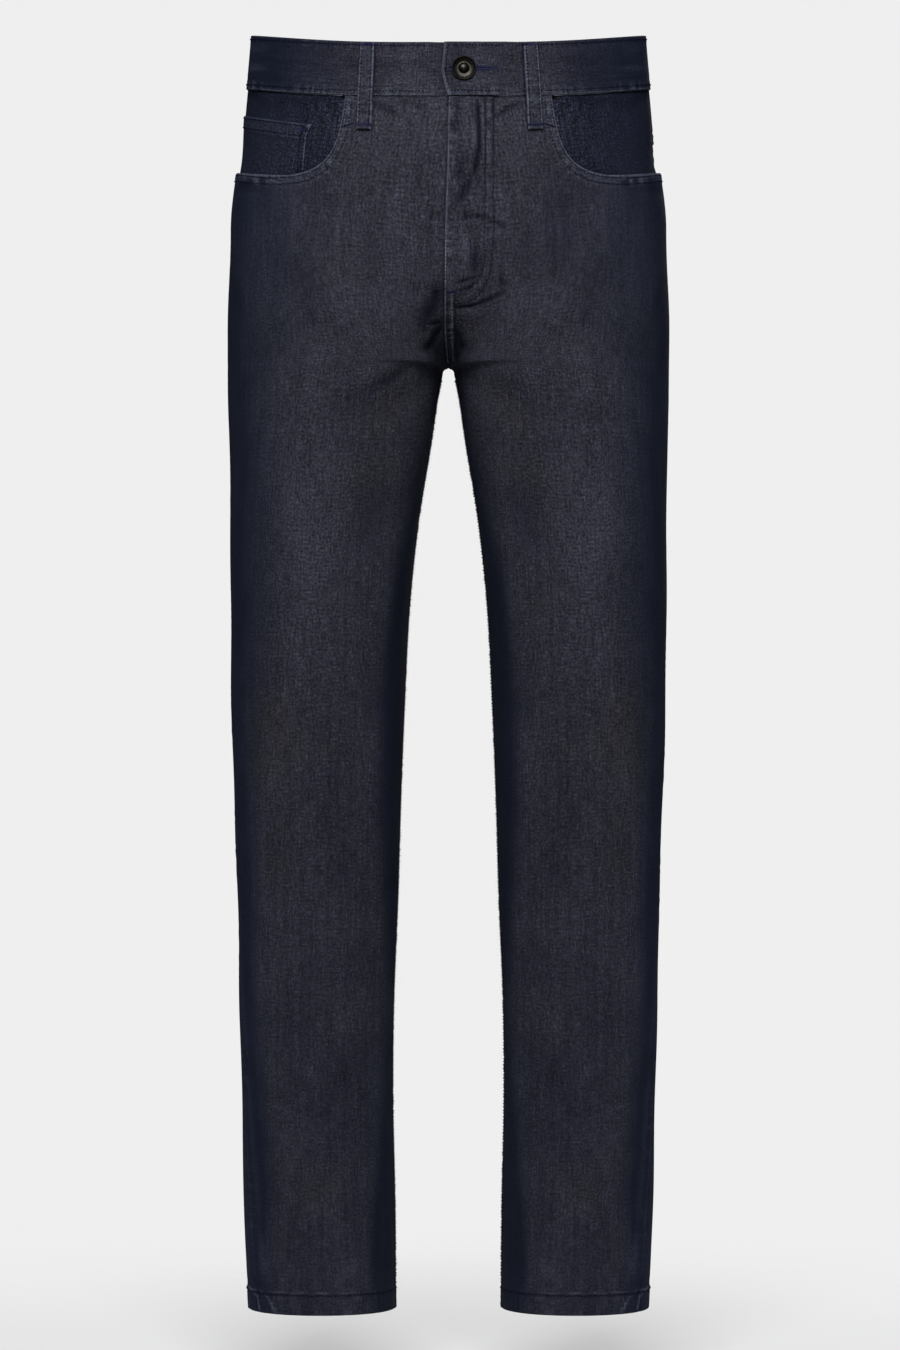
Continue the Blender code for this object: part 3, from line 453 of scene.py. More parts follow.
def form(around, down):
    """The smooth form of one half of the garment, without folds.

    Each row is a blend of a leg's closed ring and the hip's half oval. At the inner edge the
    blend runs as a quarter ellipse from the centre seam under to the crotch.
    """
    inner_pull = np.cos(np.pi * around) ** 2
    turn = np.pi / 2 * np.clip((CROTCH_ROW - down) / (CROTCH_ROW - FORK_ROW), 0.0, 1.0)
    fork_top = CROTCH_DOWN - FORK_HEIGHT
    above = down + (fork_top - FORK_ROW) * ease(down, BAND_HEIGHT, FORK_ROW)
    under = CROTCH_DOWN - FORK_HEIGHT * (1 - np.cos(turn))
    rise = 1 - ease(down, CROTCH_ROW, CROTCH_ROW + CROTCH_FADE)
    below = down + (CROTCH_DOWN - CROTCH_ROW) * rise
    inner_down = np.where(down < FORK_ROW, above, np.where(down < CROTCH_ROW, under, below))
    tilt = np.sin(np.pi / 2 * np.cos(np.pi * around))
    dip = WAIST_RISE * tilt + (WAIST_DIP - WAIST_RISE) * np.maximum(tilt, 0.0) ** 1.5
    depth = down + dip * (1 - ease(down, BAND_HEIGHT, WAIST_DIP_END))
    depth = depth + (inner_down - down) * inner_pull

    edge_share = np.sin(turn)
    middle_share = 1 - ease(down, LEG_START, LEG_FULL)
    hip_share = edge_share + (middle_share - edge_share) * (1 - inner_pull ** 5)

    half_width = section("half_width", depth)
    side_y = section("side_y", depth)
    arch = np.clip(depth - CROTCH_DOWN, 0.0, ARCH_RADIUS)
    inner = section("inner", depth) + np.sqrt(arch * (2 * ARCH_RADIUS - arch))
    reach = np.where(around < 0.5, side_y - section("front_y", depth),
                     section("back_y", depth) - side_y)
    ring_x, ring_y = -np.cos(2 * np.pi * around), -np.sin(2 * np.pi * around)
    ring = oval(ring_x, ring_y, (half_width - inner) / 2, reach, LEG_SQUARENESS)
    hip_x, hip_y = np.sin(np.pi * around), -np.cos(np.pi * around)
    toward_fork = ease(down, LEG_START, FORK_FULL)
    squareness = HIP_SQUARENESS + (FORK_SQUARENESS - HIP_SQUARENESS) * toward_fork
    hip = oval(hip_x, hip_y, half_width, reach, squareness)
    x = (1 - hip_share) * ((half_width + inner) / 2 + ring * ring_x) + hip_share * hip * hip_x
    y = side_y + (1 - hip_share) * ring * ring_y + hip_share * hip * hip_y
    return np.stack(np.broadcast_arrays(x, y, SIDE_TOP - depth), axis=-1)


def unit(vectors):
    """Vectors scaled to a length of 1."""
    return vectors / np.linalg.norm(vectors, axis=-1, keepdims=True)


def outward(around, down):
    """Unit normals of the smooth form."""
    step = 1e-4
    low, high = np.maximum(around - step, 0.0), np.minimum(around + step, 1.0)
    across = form(high, down) - form(low, down)
    along = form(around, down + step) - form(around, down - step)
    return unit(np.cross(along, across))


def fade_along(t):
    """1 along most of a fold, fading past its ends."""
    return np.exp(-((t - 0.5) / 0.46) ** 4)


def folds_at(side, around, down):
    """Height of the folds over the smooth form, and how they are painted: each fades across its
    width and to its ends. Sharp troughs are painted darker, partly indigo kept in the crease and
    partly painted shade, and sharp ridges are rubbed pale.

    Slow swells, uneven in length, keep the cloth between the folds from being too even.
    """
    total = np.zeros(np.broadcast(around, down).shape)
    wear = total.copy()
    for row in FOLDS:
        fold = dict(zip(FOLD_COLUMNS, row))
        if fold["side"] in (0, side):
            start = np.array([fold["around_a"] * HALF_GIRTH, fold["down_a"]])
            end = np.array([fold["around_b"] * HALF_GIRTH, fold["down_b"]])
            line = end - start
            length = np.linalg.norm(line)
            from_x, from_y = around * HALF_GIRTH - start[0], down - start[1]
            t = (from_x * line[0] + from_y * line[1]) / length ** 2
            off = (from_x * line[1] - from_y * line[0]) / length
            off = off - fold["bow"] * 4 * t * (1 - t)
            fade = np.exp(-(off / fold["width"]) ** 2) * fade_along(t)
            near_centre = WIDE_FADE if fold["width"] > WIDE_FOLD else NARROW_FADE
            ends = ease(around, 0.0, near_centre) * (1 - ease(around, 1 - near_centre, 1.0))
            flank = np.exp(-((off / fold["width"] - 1.9) / 1.1) ** 2) * fade_along(t)
            sharp = (1 - 0.92 * ease(fold["width"], SHARP_WIDTH, SOFT_WIDTH)) * ends
            total = total + fold["depth"] * (fade * ends - FOLD_FLANK * sharp * flank)
            # under 0 in troughs as painted shade, over 0 on ridges as rubbing
            worn = fold["depth"] / WEAR_AND_SHADE_DEPTH * sharp
            wear = wear + worn * (fade ** 1.5 - 0.05 * flank)
    swell = (np.sin(31.0 * down + 9.0 * around + 1.3 * side)
             * np.sin(17.0 * around + 13.0 * down + side)
             + 0.6 * np.sin(53.0 * down - 14.0 * around + 2.1 * side))
    on_legs = ease(down, 0.12, 0.30) * (1 - ease(down, 0.98, 1.03))
    middle = ease(around, 0.0, 0.06) * (1 - ease(around, 0.94, 1.0))
    return total + 0.00035 * swell * on_legs * middle, wear


def place_on(side, around, down, lift=0.0):
    """Points of the cloth of one side moved out by lift, the way out, and the folds' wear and
    painted shade.
    """
    around, down, lift = np.broadcast_arrays(*map(np.asarray, (around, down, lift)))
    around = np.where(np.abs(around) > 1.0, (around + 1.0) % 2.0 - 1.0, around)
    mirror = side * np.where(around < 0, -1.0, 1.0)
    half = np.abs(around)
    folds, wear = np.zeros(half.shape), np.zeros(half.shape)
    for which in (LEFT, RIGHT):
        here = mirror == which
        if here.any():
            folds[here], wear[here] = folds_at(which, half[here], down[here])
    out = outward(half, down)
    point = form(half, down) + out * (folds + lift)[..., None]
    point[..., 0] *= mirror
    out[..., 0] *= mirror
    return point, out, wear


def stretch(around, down):
    """Metres of cloth for one unit of around."""
    step = 1e-3
    low = np.clip(np.abs(around) - step, 0.0, 1.0)
    high = np.clip(np.abs(around) + step, 0.0, 1.0)
    gap = np.linalg.norm(form(high, down) - form(low, down), axis=-1)
    return gap / (high - low)


def around_at(x, down):
    """The place around the front at which the cloth is x away from the centre plane, read
    between the two nearest of many samples of the form at that height."""
    sample = np.linspace(0.0, 0.5, 400)
    x, down = np.broadcast_arrays(np.asarray(x, float), np.asarray(down, float))
    reach = form(sample, down[..., None])[..., 0]
    before = np.sum(reach < np.abs(x)[..., None], axis=-1) - 1
    before = np.clip(before, 0, len(sample) - 2)
    near, far = (np.take_along_axis(reach, i[..., None], -1)[..., 0]
                 for i in (before, before + 1))
    t = np.clip((np.abs(x) - near) / (far - near), 0.0, 1.0)
    return np.sign(x) * (sample[before] + (sample[before + 1] - sample[before]) * t)


def plane_x(around, down):
    """Distance from the centre plane, under 0 where around is."""
    wrapped = (around + 1.0) % 2.0 - 1.0
    return form(np.abs(wrapped), down)[..., 0] * np.where(wrapped < 0, -1.0, 1.0)


def from_seam(place, around, down):
    """Metres of cloth between a seam and each place."""
    return np.abs(around - place) * stretch(around, down)


def patches(rows, around, down):
    """A sum of soft ovals, each with its strength and its middle and half size both ways."""
    return sum(strength * bump_at(around, a, wide) * bump_at(down, d, high)
               for strength, a, wide, d, high in rows)


RUN_AROUND, RUN_DOWN = np.linspace(0.0, 1.0, 161), np.linspace(-0.002, LENGTH, 260)
run_points = form(RUN_AROUND[None, :], RUN_DOWN[:, None])
run_steps = np.linalg.norm(np.diff(run_points, axis=1), axis=-1)
RUN = np.concatenate((np.zeros((len(RUN_DOWN), 1)), np.cumsum(run_steps, axis=1)), axis=1)


def cloth_run(around, down):
    """Metres of cloth from the centre front or inseam round to a place."""
    column = np.clip(np.abs(around), 0.0, 1.0) * (len(RUN_AROUND) - 1)
    row = np.clip((down - RUN_DOWN[0]) / (RUN_DOWN[1] - RUN_DOWN[0]), 0.0, len(RUN_DOWN) - 1.001)
    i, j = row.astype(int), np.minimum(column.astype(int), len(RUN_AROUND) - 2)
    u, v = column - j, row - i
    upper = RUN[i, j] * (1 - u) + RUN[i, j + 1] * u
    lower = RUN[i + 1, j] * (1 - u) + RUN[i + 1, j + 1] * u
    return np.sign(around) * (upper * (1 - v) + lower * v)


def outseam(down):
    """The side seam runs down the widest line, and drifts forward below the knee."""
    return 0.5 - SEAM_DRIFT * ease(down, SEAM_DRIFT_START, LENGTH)


def mouth_lift(around, down):
    """How far the front stands proud of the form beside the pocket mouth."""
    return MOUTH_LIFT * ease(around, 0.27, 0.47) * (1 - ease(down, 0.118, 0.175))


def mouth_edge(count):
    """Places along the pocket mouth, from the waistband seam round and out to the side."""
    angle = np.linspace(0.0, np.pi / 2, count)
    reach = oval(np.cos(angle), np.sin(angle), 1.0, 1.0, MOUTH_SQUARENESS)
    top = BAND_HEIGHT + SEAM_GAP
    around = 0.5 - (0.5 - MOUTH_START) * reach * np.cos(angle)
    return around, top + (MOUTH_LOW - top) * reach * np.sin(angle)


def fly_shift(x, down):
    """The front edges part by this much where one laps over the other."""
    beside = 1 - ease(np.abs(x), FLY_FADE_NEAR, FLY_FADE_FAR)
    return FLY_SHIFT * beside * (1 - ease(down, FLY_END, FLY_FADE_END))


def fly_edge_x(down):
    """The edge of the wearer's left front, and below it the centre seam, waver a little."""
    return np.interp(down, (0.044, 0.076, 0.100, 0.113, 0.133, 0.160, 0.184, 0.222, 0.262, 0.290),
                     (0.0003, -0.0003, -0.0011, -0.0020, -0.0026, -0.0029, -0.0032, -0.0032,
                      -0.0018, 0.0))


def pucker(along, pitch, seed):
    """Uneven waves along a seam, from -1 to 1."""
    phase = along / pitch + 0.55 * np.sin(along / pitch * 1.13 + seed)
    swell = 0.55 + 0.45 * np.sin(along / pitch * 0.71 + 2.0 * seed)
    return np.sin(2 * np.pi * phase + seed) * swell


def beside(path, around, down):
    """Distance of each place from a line on the cloth, over 0 on its right as one follows it,
    and the distance along the line to the nearest point, both in metres."""
    path = np.asarray(path, float)
    scale = stretch(around, down)
    best = np.full(np.shape(around), 9.0)
    signed, along = best.copy(), np.zeros(np.shape(around))
    run = 0.0
    for (a0, d0), (a1, d1) in zip(path[:-1], path[1:]):
        line_x, line_y = (a1 - a0) * scale, d1 - d0
        from_x, from_y = (around - a0) * scale, down - d0
        size = np.maximum(line_x ** 2 + line_y ** 2, 1e-12)
        t = np.clip((from_x * line_x + from_y * line_y) / size, 0.0, 1.0)
        away = np.hypot(from_x - t * line_x, from_y - t * line_y)
        turn = np.sign(line_x * from_y - line_y * from_x)
        nearer = away < best
        best = np.where(nearer, away, best)
        signed = np.where(nearer, turn * away, signed)
        along = np.where(nearer, run + t * np.sqrt(size), along)
        run = run + np.median(np.sqrt(size))
    return signed, along


def strip(name, down):
    """A column of STRIPS at any height."""
    return np.interp(down, STRIPS[:, 0], STRIPS[:, STRIP_COLUMNS.index(name)])


def at_inseam(front, down):
    """1 on the strip along a leg's inseam that is painted darker, partly unfaded indigo and partly
    painted shade where the legs shade each other; it widens and narrows down the leg.
    """
    full, end = strip("inner_full", down), strip("inner_end", down)
    strength = strip("inner_share", down) * ease(down, 0.26, 0.33)
    return (1 - ease((front - full) / (end - full), 0.0, 1.0)) * strength


def wash(around, down):
    """How pale the cloth is: faded most on the front and back of the legs, and darker at the sides,
    along the inseam and in the crotch, partly indigo kept and partly painted shade where the
    form turns away from the light and the legs shade each other. Less faded lower down the legs."""
    half = np.abs(around)
    half = np.where(half > 1.0, 2.0 - half, half)
    front = np.minimum(half, 1.0 - half)
    start, full = strip("side_start", down), strip("side_full", down)
    at_side = np.clip((front - start) / (full - start), 0.0, 1.0)
    at_crotch = (1 - ease(front, 0.010, 0.060)) * bump_at(down, 0.276, 0.024)
    lower = 0.10 * ease(down, 0.26, 0.40) + 0.20 * ease(down, 0.50, 0.95)
    lower = lower + 0.06 * ease(down, 0.95, 1.01)
    return np.clip(1 - at_side - at_inseam(front, down) - 0.7 * at_crotch - lower, 0.0, 1.0)


def make_denim(name, deep, faded, worn, weft_share=1.5, contrast=1.0):
    """Warp-faced twill: dark warp threads float over three weft threads and under one, so pale
    specks run up in slanting lines. The yarn is uneven along both ways of the cloth.

    The weave layer of the UV map is in metres. One attribute says how far the indigo has faded,
    lowered by painted shade along the sides, the inseam and the crotch. Another is over 0 where a
    fold or edge is rubbed pale and under 0 where painted shade darkens hollows, creases and the
    cloth beside raised edges, and inside is 1 on the back."""
    made, shader, shade = new_material(name)
    weave = shade.node("ShaderNodeUVMap", {"uv_map": "weave"})
    across = shade.node("ShaderNodeSeparateXYZ", (), {0: weave}, 0)
    along = shade.node("ShaderNodeSeparateXYZ", (), {0: weave}, 1)
    washed_and_shaded, wear, inside = (shade.node("ShaderNodeAttribute", {"attribute_name": key}, (), 2)
                            for key in ("wash", "wear", "inside"))
    warp, weft = across * (1.0 / THREAD_PITCH), along * (1.0 / THREAD_PITCH)
    number = shade.maths("FLOOR", warp) + shade.maths("FLOOR", weft)
    over = shade.maths("LESS_THAN", shade.maths("FLOORED_MODULO", number, 4.0), 0.9)
    over = over + inside * (1.0 - 2.0 * over)

    def yarn(x_scale, y_scale, detail=2.0):
        """Unevenness drawn out along one way of the cloth."""
        at = shade.node("ShaderNodeCombineXYZ", (), {0: across * x_scale, 1: along * y_scale})
        return speckle(shade, at, 1.0, detail, 0.6, "2D") - 0.5

    warp_slubs, weft_slubs = yarn(760.0, 85.0), yarn(110.0, 640.0)
    grain, streaks, clouds = yarn(640.0, 560.0, 3.0), yarn(230.0, 12.0, 3.0), yarn(30.0, 20.0)
    blotches = yarn(9.0, 7.0)
    uneven = 3.4 * grain + 1.6 * warp_slubs + 1.4 * weft_slubs + 0.7 * streaks
    uneven = uneven * (contrast * (0.35 + 0.65 * washed_and_shaded)) + 0.45 * clouds + 0.30 * blotches
    light = shade.maths("POWER", 2.718, uneven - 0.05)
    light = light * ((4.0 - weft_share) / 3.0 + over * (4.0 * (weft_share - 1.0) / 3.0))

    faded_by = (washed_and_shaded + 0.35 * clouds + 0.25 * streaks + 0.20 * blotches).held()
    color = faded_by.blend((*deep, 1.0), (*faded, 1.0))
    olive = speckle(shade, weave, 9.0, 2.0, 0.5, "2D").between(0.52, 0.72) * faded_by * 0.5
    color = olive.blend(color, tuple(c * k for c, k in zip(faded, (1.06, 1.04, 0.78))) + (1.0,))
    # painted shade: under 0 the colour darkens towards a near-black navy, in hollows, creases and
    # beside raised edges
    color = (wear * -0.8).held(0.0, 0.85).blend(color, PAINTED_SHADE)
    warmth = (yarn(300.0, 260.0, 3.0) * 2.6 + 0.5).between(0.0, 1.0)
    color = warmth.blend(light.times(color), COOL_YARN, "MULTIPLY")
    broken = 0.85 + 3.2 * grain + 1.6 * warp_slubs + 1.2 * weft_slubs
    color = (wear.held(0.0, 2.0) * broken).held().blend(color, (*worn, 1.0))
    color = (inside * 0.85).blend(color, BACK_OF_CLOTH)
    round_warp, round_weft = (
        1.0 - shade.maths("ABSOLUTE", shade.maths("FRACT", thread) * 2.0 - 1.0)
        for thread in (warp, weft))
    height = round_warp * (1.0 - over) + round_weft * over + 2.4 * grain + 1.6 * warp_slubs
    normal = shade.node("ShaderNodeBump", (), {"Strength": 0.7, "Distance": 0.00025,
                                               "Height": height})
    feed(shader, Base_Color=color, Roughness=0.88 - 0.06 * grain, Normal=normal,
         Specular_IOR_Level=0.10, Sheen_Weight=0.03, Sheen_Roughness=0.4,
         Sheen_Tint=(0.45, 0.60, 1.0, 1.0))
    return made


THREAD_PITCH = 0.00042
# a near-black navy for painted shade, a cool tint for the yarn, and the pale back of the cloth
PAINTED_SHADE, COOL_YARN = (0.0048, 0.0060, 0.0130, 1.0), (0.90, 1.00, 1.16, 1.0)
BACK_OF_CLOTH = (0.20, 0.215, 0.25, 1.0)
RIM_DRAW = 0.32
denim = make_denim("blue_grey_denim", deep=(0.0084, 0.0118, 0.0262),
                   faded=(0.0385, 0.0365, 0.0480), worn=(0.130, 0.145, 0.195))


def cloth_piece(name, side, around, down, lift, thickness, material, wear=0.0,
                grain_line=0.27, wash_and_shade_drop=0.0, warp_along=False):
    """A closed shell of cloth on a grid of places: the outer face at lift over the form, the
    inner face a thickness behind it, and rims rounded by drawing both faces in at the edges."""
    shape = np.broadcast(around, down, lift).shape
    around, down, lift, wear, thickness, drop = (
        np.broadcast_to(np.asarray(v, float), shape)
        for v in (around, down, lift, wear, thickness, wash_and_shade_drop))
    rim = np.zeros(shape)
    rim[0], rim[-1], rim[:, 0], rim[:, -1] = 1.0, 1.0, 1.0, 1.0
    outer, out, fold_wear_and_shade = place_on(side, around, down, lift - RIM_DRAW * thickness * rim)
    inner, _, _ = place_on(side, around, down, lift - thickness * (1.0 - RIM_DRAW * rim))
    # where the seat dips at the centre back, both edges close on the middle plane
    at_middle = (around[:, -1] > 0.9999) & (around[:, -1] <= 1.0)
    closed = at_middle * (1 - ease(down[:, -1], 0.255, 0.275))
    for sheet in (outer, inner):
        sheet[:, -1, 0] = sheet[:, -1, 0] * (1 - closed) + side * SEAM_TRIM * closed

    across = cloth_run(around, down) - cloth_run(np.full(shape, grain_line), down)
    if warp_along:
        across = -down
    weave = np.stack((across, around * HALF_GIRTH if warp_along else -down), axis=-1)

    rows, columns = shape
    number = np.arange(rows * columns).reshape(shape)
    a, b = number[:-1, :-1].ravel(), number[1:, :-1].ravel()
    c, d = number[1:, 1:].ravel(), number[:-1, 1:].ravel()
    quads = [np.stack((a, b, c, d), 1), np.stack((a, d, c, b), 1) + rows * columns]
    for line in (number[::-1, 0], number[-1, ::-1], number[:, -1], number[0, :]):
        first, second = line[:-1], line[1:]
        quads.append(np.stack((first, second, second + rows * columns,
                               first + rows * columns), 1))
    faces = np.concatenate(quads)
    flat_points = outer.reshape(-1, 3)
    mid = quads[0][len(quads[0]) // 2]
    corner = flat_points[mid]
    facing = np.cross(corner[1] - corner[0], corner[2] - corner[0])
    if facing @ out.reshape(-1, 3)[mid[0]] < 0:
        faces = faces[:, ::-1]
    piece = new_piece(name, np.concatenate((flat_points, inner.reshape(-1, 3))), [faces],
                      material)
    layer = piece.data.uv_layers.new(name="weave")
    both = np.tile(weave.reshape(-1, 2), (2, 1))
    layer.data.foreach_set("uv", both[faces.ravel()].astype(np.float32).ravel())
    washed_and_shaded = np.clip(wash(around, down) - drop, 0.0, 1.0)
    # faded share lowered by painted shade, then rubbed pale (over 0) or painted shade (under 0)
    for key, outside, behind in (("wash", washed_and_shaded, washed_and_shaded),
                                 ("wear", np.clip(wear + fold_wear_and_shade, -1.2, 1.6), 0.0 * wear),
                                 ("inside", 0.0 * rim, 1.0 - rim)):
        values = np.concatenate((outside.ravel(), behind.ravel())).astype(np.float32)
        piece.data.attributes.new(key, "FLOAT", "POINT").data.foreach_set("value", values)
    return piece


def stand_for(piece, node):
    """Ride on the garment and stand for the solid of the same piece."""
    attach(piece, "root")
    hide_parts(node)


def finish_cloth(piece, node):
    """Stand for the solid of the same piece."""
    stand_for(piece, node)


def spread(count, closer=0.5, rim=0.0015):
    """Shares from 0 to 1, closer together towards both ends, with narrow rims at each."""
    t = np.linspace(0.0, 1.0, count - 6)
    t = t - closer * np.sin(2 * np.pi * t) / (2 * np.pi)
    ends = np.array((0.0, 1.0, 3.2)) * rim
    return np.concatenate((ends, 6 * rim + (1 - 12 * rim) * t, 1 - ends[::-1]))


def from_edge_to_edge(start, end, t):
    """Rows of places from one edge of a piece to the other."""
    return start[:, None] + (end - start)[:, None] * t


def leg_rows(first, fine_to):
    """Distances down the side for the rows of a leg: close at the hips and at the hem."""
    hem_top = LENGTH - HEM_HEIGHT - 0.004
    return np.concatenate((
        np.arange(first, fine_to, 0.0014), np.arange(fine_to, 0.36, 0.0028),
        np.arange(0.36, hem_top, 0.0034), np.arange(hem_top, LENGTH - 0.0010, 0.0012),
        [LENGTH - 0.0006, LENGTH]))


def hem_relief(around, down):
    """The turned-up hem: three layers, raised, with ropes that slant, strongest beside the
    side seam, and a row of stitches pressed into its top."""
    up = LENGTH - down
    along = around * stretch(around, down)
    by_seam = bump_at(from_seam(outseam(down), around, down), 0.010, 0.016)
    ropes = pucker(along, 0.0088, 1.7) * (1 - by_seam) * 0.5
    on_hem = ease(up, 0.0002, 0.004) * (1 - ease(up, 0.0165, 0.0196))
    line = bump_at(up, 0.0158, 0.0011)
    above = bump_at(up, 0.0225, 0.0030) * (0.4 + 0.6 * by_seam)
    return (0.00045 * (1 - ease(up, 0.0172, 0.0196)) + 0.00045 * ropes * on_hem
            - 0.00035 * line - 0.0004 * above)


def hem_wear_and_shade(around, down):
    """The hem is rubbed pale along its folds and ropes; painted shade darkens the row of its
    stitches and the cloth just above it, most beside the side seam.
    """
    up = LENGTH - down
    along = around * stretch(around, down)
    on_hem = 1 - ease(up, 0.019, 0.021)
    by_seam = bump_at(from_seam(outseam(down), around, down), 0.012, 0.012)
    crest = 0.50 * bump_at(up, 0.0181, 0.0010) * (0.7 + 0.4 * pucker(along, 0.0210, 0.4))
    spots = 0.26 * bump_at(up, 0.0135, 0.0035) * pucker(along, 0.0088, 1.7)
    dark = 0.22 * (0.5 - 0.5 * pucker(along, 0.0310, 2.6)) * on_hem
    shade_above = (0.12 + 0.30 * by_seam) * bump_at(up, 0.0235, 0.0042)
    return (crest + spots - dark - shade_above - 0.40 * bump_at(up, 0.0160, 0.0010)
            + 0.16 * bump_at(up, 0.0, 0.0010))


def leg_thickness(down):
    """The cloth's own thickness, and more where the hem is turned up inside."""
    hem_top = LENGTH - HEM_HEIGHT
    return CLOTH + (HEM_CLOTH - CLOTH) * ease(down, hem_top - 0.002, hem_top)


# Lines that the next functions follow: the pocket mouth, the belt loops (their places around
# at top and foot) and the two rows that hold the fly facing
MOUTH = np.stack(mouth_edge(60), axis=1)
LOOP_WIDTH, LOOP_TOP, LOOP_BOTTOM = 0.0115, 0.0005, 0.070
LOOPS = {"belt_loop_front_left": (0.195, 0.188), "belt_loop_front_right": (-0.193, -0.183),
         "belt_loop_back_left": (0.690, 0.690), "belt_loop_back_right": (-0.690, -0.690),
         "belt_loop_centre": (1.0, 1.0)}
J_OUTER = ((0.106, 0.046), (0.099, 0.080), (0.0945, 0.114), (0.0942, 0.147), (0.0935, 0.163),
           (0.0890, 0.176), (0.079, 0.187), (0.062, 0.1935), (0.036, 0.196), (0.012, 0.1965))
J_INNER = ((0.087, 0.046), (0.081, 0.080), (0.0765, 0.114), (0.0768, 0.146), (0.0775, 0.159),
           (0.0735, 0.170), (0.064, 0.178), (0.048, 0.1825), (0.028, 0.1845), (0.012, 0.185))


def beside_loops(around, down):
    """1 on the cloth along the edges of the belt loops, where a painted shadow darkens it."""
    wrapped = (around + 1.0) % 2.0 - 1.0
    found = 0.0
    for top, bottom in LOOPS.values():
        middle = top + (bottom - top) * np.clip(down / LOOP_BOTTOM, 0.0, 1.0)
        away = np.abs((wrapped - middle + 1.0) % 2.0 - 1.0) * stretch(wrapped, down)
        found = found + bump_at(away, LOOP_WIDTH / 2 + 0.0004, 0.0010)
    return found * (1 - ease(down, LOOP_BOTTOM, LOOP_BOTTOM + 0.0015))


def side_seam(side, around, down):
    """The side seam: a groove, a low ridge over its allowance, and puckers that fade down the
    leg."""
    away = from_seam(outseam(down), around, down)
    relief = 0.0004 * pucker(down, 0.011, 2.2 + side) * bump_at(away, 0.002, 0.006)
    relief = relief - 0.0005 * bump_at(away, 0.0, 0.0012) + 0.0003 * bump_at(away, 0.011, 0.004)
    return relief * (1 - 0.6 * ease(down, 0.5, 0.8))


def from_fly_edge(around, down):
    """Metres from the wearer's left front edge, over 0 to the wearer's left."""
    return plane_x(around, down) - fly_edge_x(down)


def front_relief(side, around, down):
    """The seam allowances of a front, which are raised, and the puckers and pressed rows."""
    from_mouth, along_mouth = beside(MOUTH, around, down)
    away = np.abs(from_mouth)
    raised = 0.0005 * (1 - ease(away, 0.0074, 0.0092))
    waves = 0.00042 * pucker(along_mouth, 0.0058, 0.6) * bump_at(away, 0.0042, 0.0030)
    waves = waves - 0.00034 * bump_at(away, 0.0017, 0.0010)
    waves = waves - 0.00042 * bump_at(away, 0.0070, 0.0013)
    waves = waves + side_seam(side, around, down) * ease(down, 0.112, 0.122)
    inseam = from_seam(0.0, around, down)
    on_leg = ease(down, 0.285, 0.300)
    raised = raised + 0.0005 * (1 - ease(inseam, 0.0072, 0.0086)) * on_leg
    waves = waves + on_leg * 0.00035 * pucker(down, 0.0078, 0.4 - side) \
        * bump_at(inseam, 0.004, 0.005)
    if side == RIGHT:
        tucked = bump_at(plane_x(around, down), 0.0, 0.002) * (1 - ease(down, 0.19, 0.21))
        return raised, waves - 0.0003 * tucked
    from_edge = from_fly_edge(around, down)
    above_fork = (1 - ease(down, 0.262, 0.285)) * ease(from_edge, -0.0002, 0.0008)
    raised = raised + 0.00045 * (1 - ease(from_edge, 0.0072, 0.0088)) * above_fork
    waves = waves + above_fork * 0.00030 * pucker(down, 0.0085, 1.1) \
        * bump_at(from_edge, 0.003, 0.004)
    off, along = beside(J_OUTER, around, down)
    off_in = beside(J_INNER, around, down)[0]
    between = bump_at(np.abs(off), 0.0042, 0.0030) * bump_at(np.abs(off_in), 0.0042, 0.0036)
    waves = waves + 0.00030 * pucker(along, 0.0072, 0.2) * between
    waves = waves - 0.00050 * (bump_at(off, 0.0, 0.0012) + bump_at(off_in, 0.0, 0.0012))
    return raised, waves


def front_lift(side, around, down):
    """The outer face of a front leg over the form."""
    raised, waves = front_relief(side, around, down)
    return (side * fly_shift(plane_x(around, down), down) + mouth_lift(around, down)
            + raised + waves + hem_relief(around, down))


# Patches that are rubbed pale (over 0) or painted shade (under 0): strength, then place and half
# size both ways
RUBBED_AND_SHADED = ((-0.50, 0.030, 0.022, 0.244, 0.018), (0.15, 0.270, 0.050, 0.410, 0.095),
          (0.09, 0.20, 0.16, 0.210, 0.060), (0.09, 0.08, 0.10, 0.066, 0.024),
          (0.15, 0.125, 0.038, 0.290, 0.055))
SHADED_LEFT = ((-0.30, 0.054, 0.007, 0.156, 0.013),)
RUBBED_RIGHT = ((0.12, 0.105, 0.040, 0.185, 0.045),)


def crotch_spread(around, down, width):
    """A band beside the wearer's right of the fly that spreads out as it falls."""
    return bump_at(around, 0.014 + 1.5 * (down - 0.182), width)


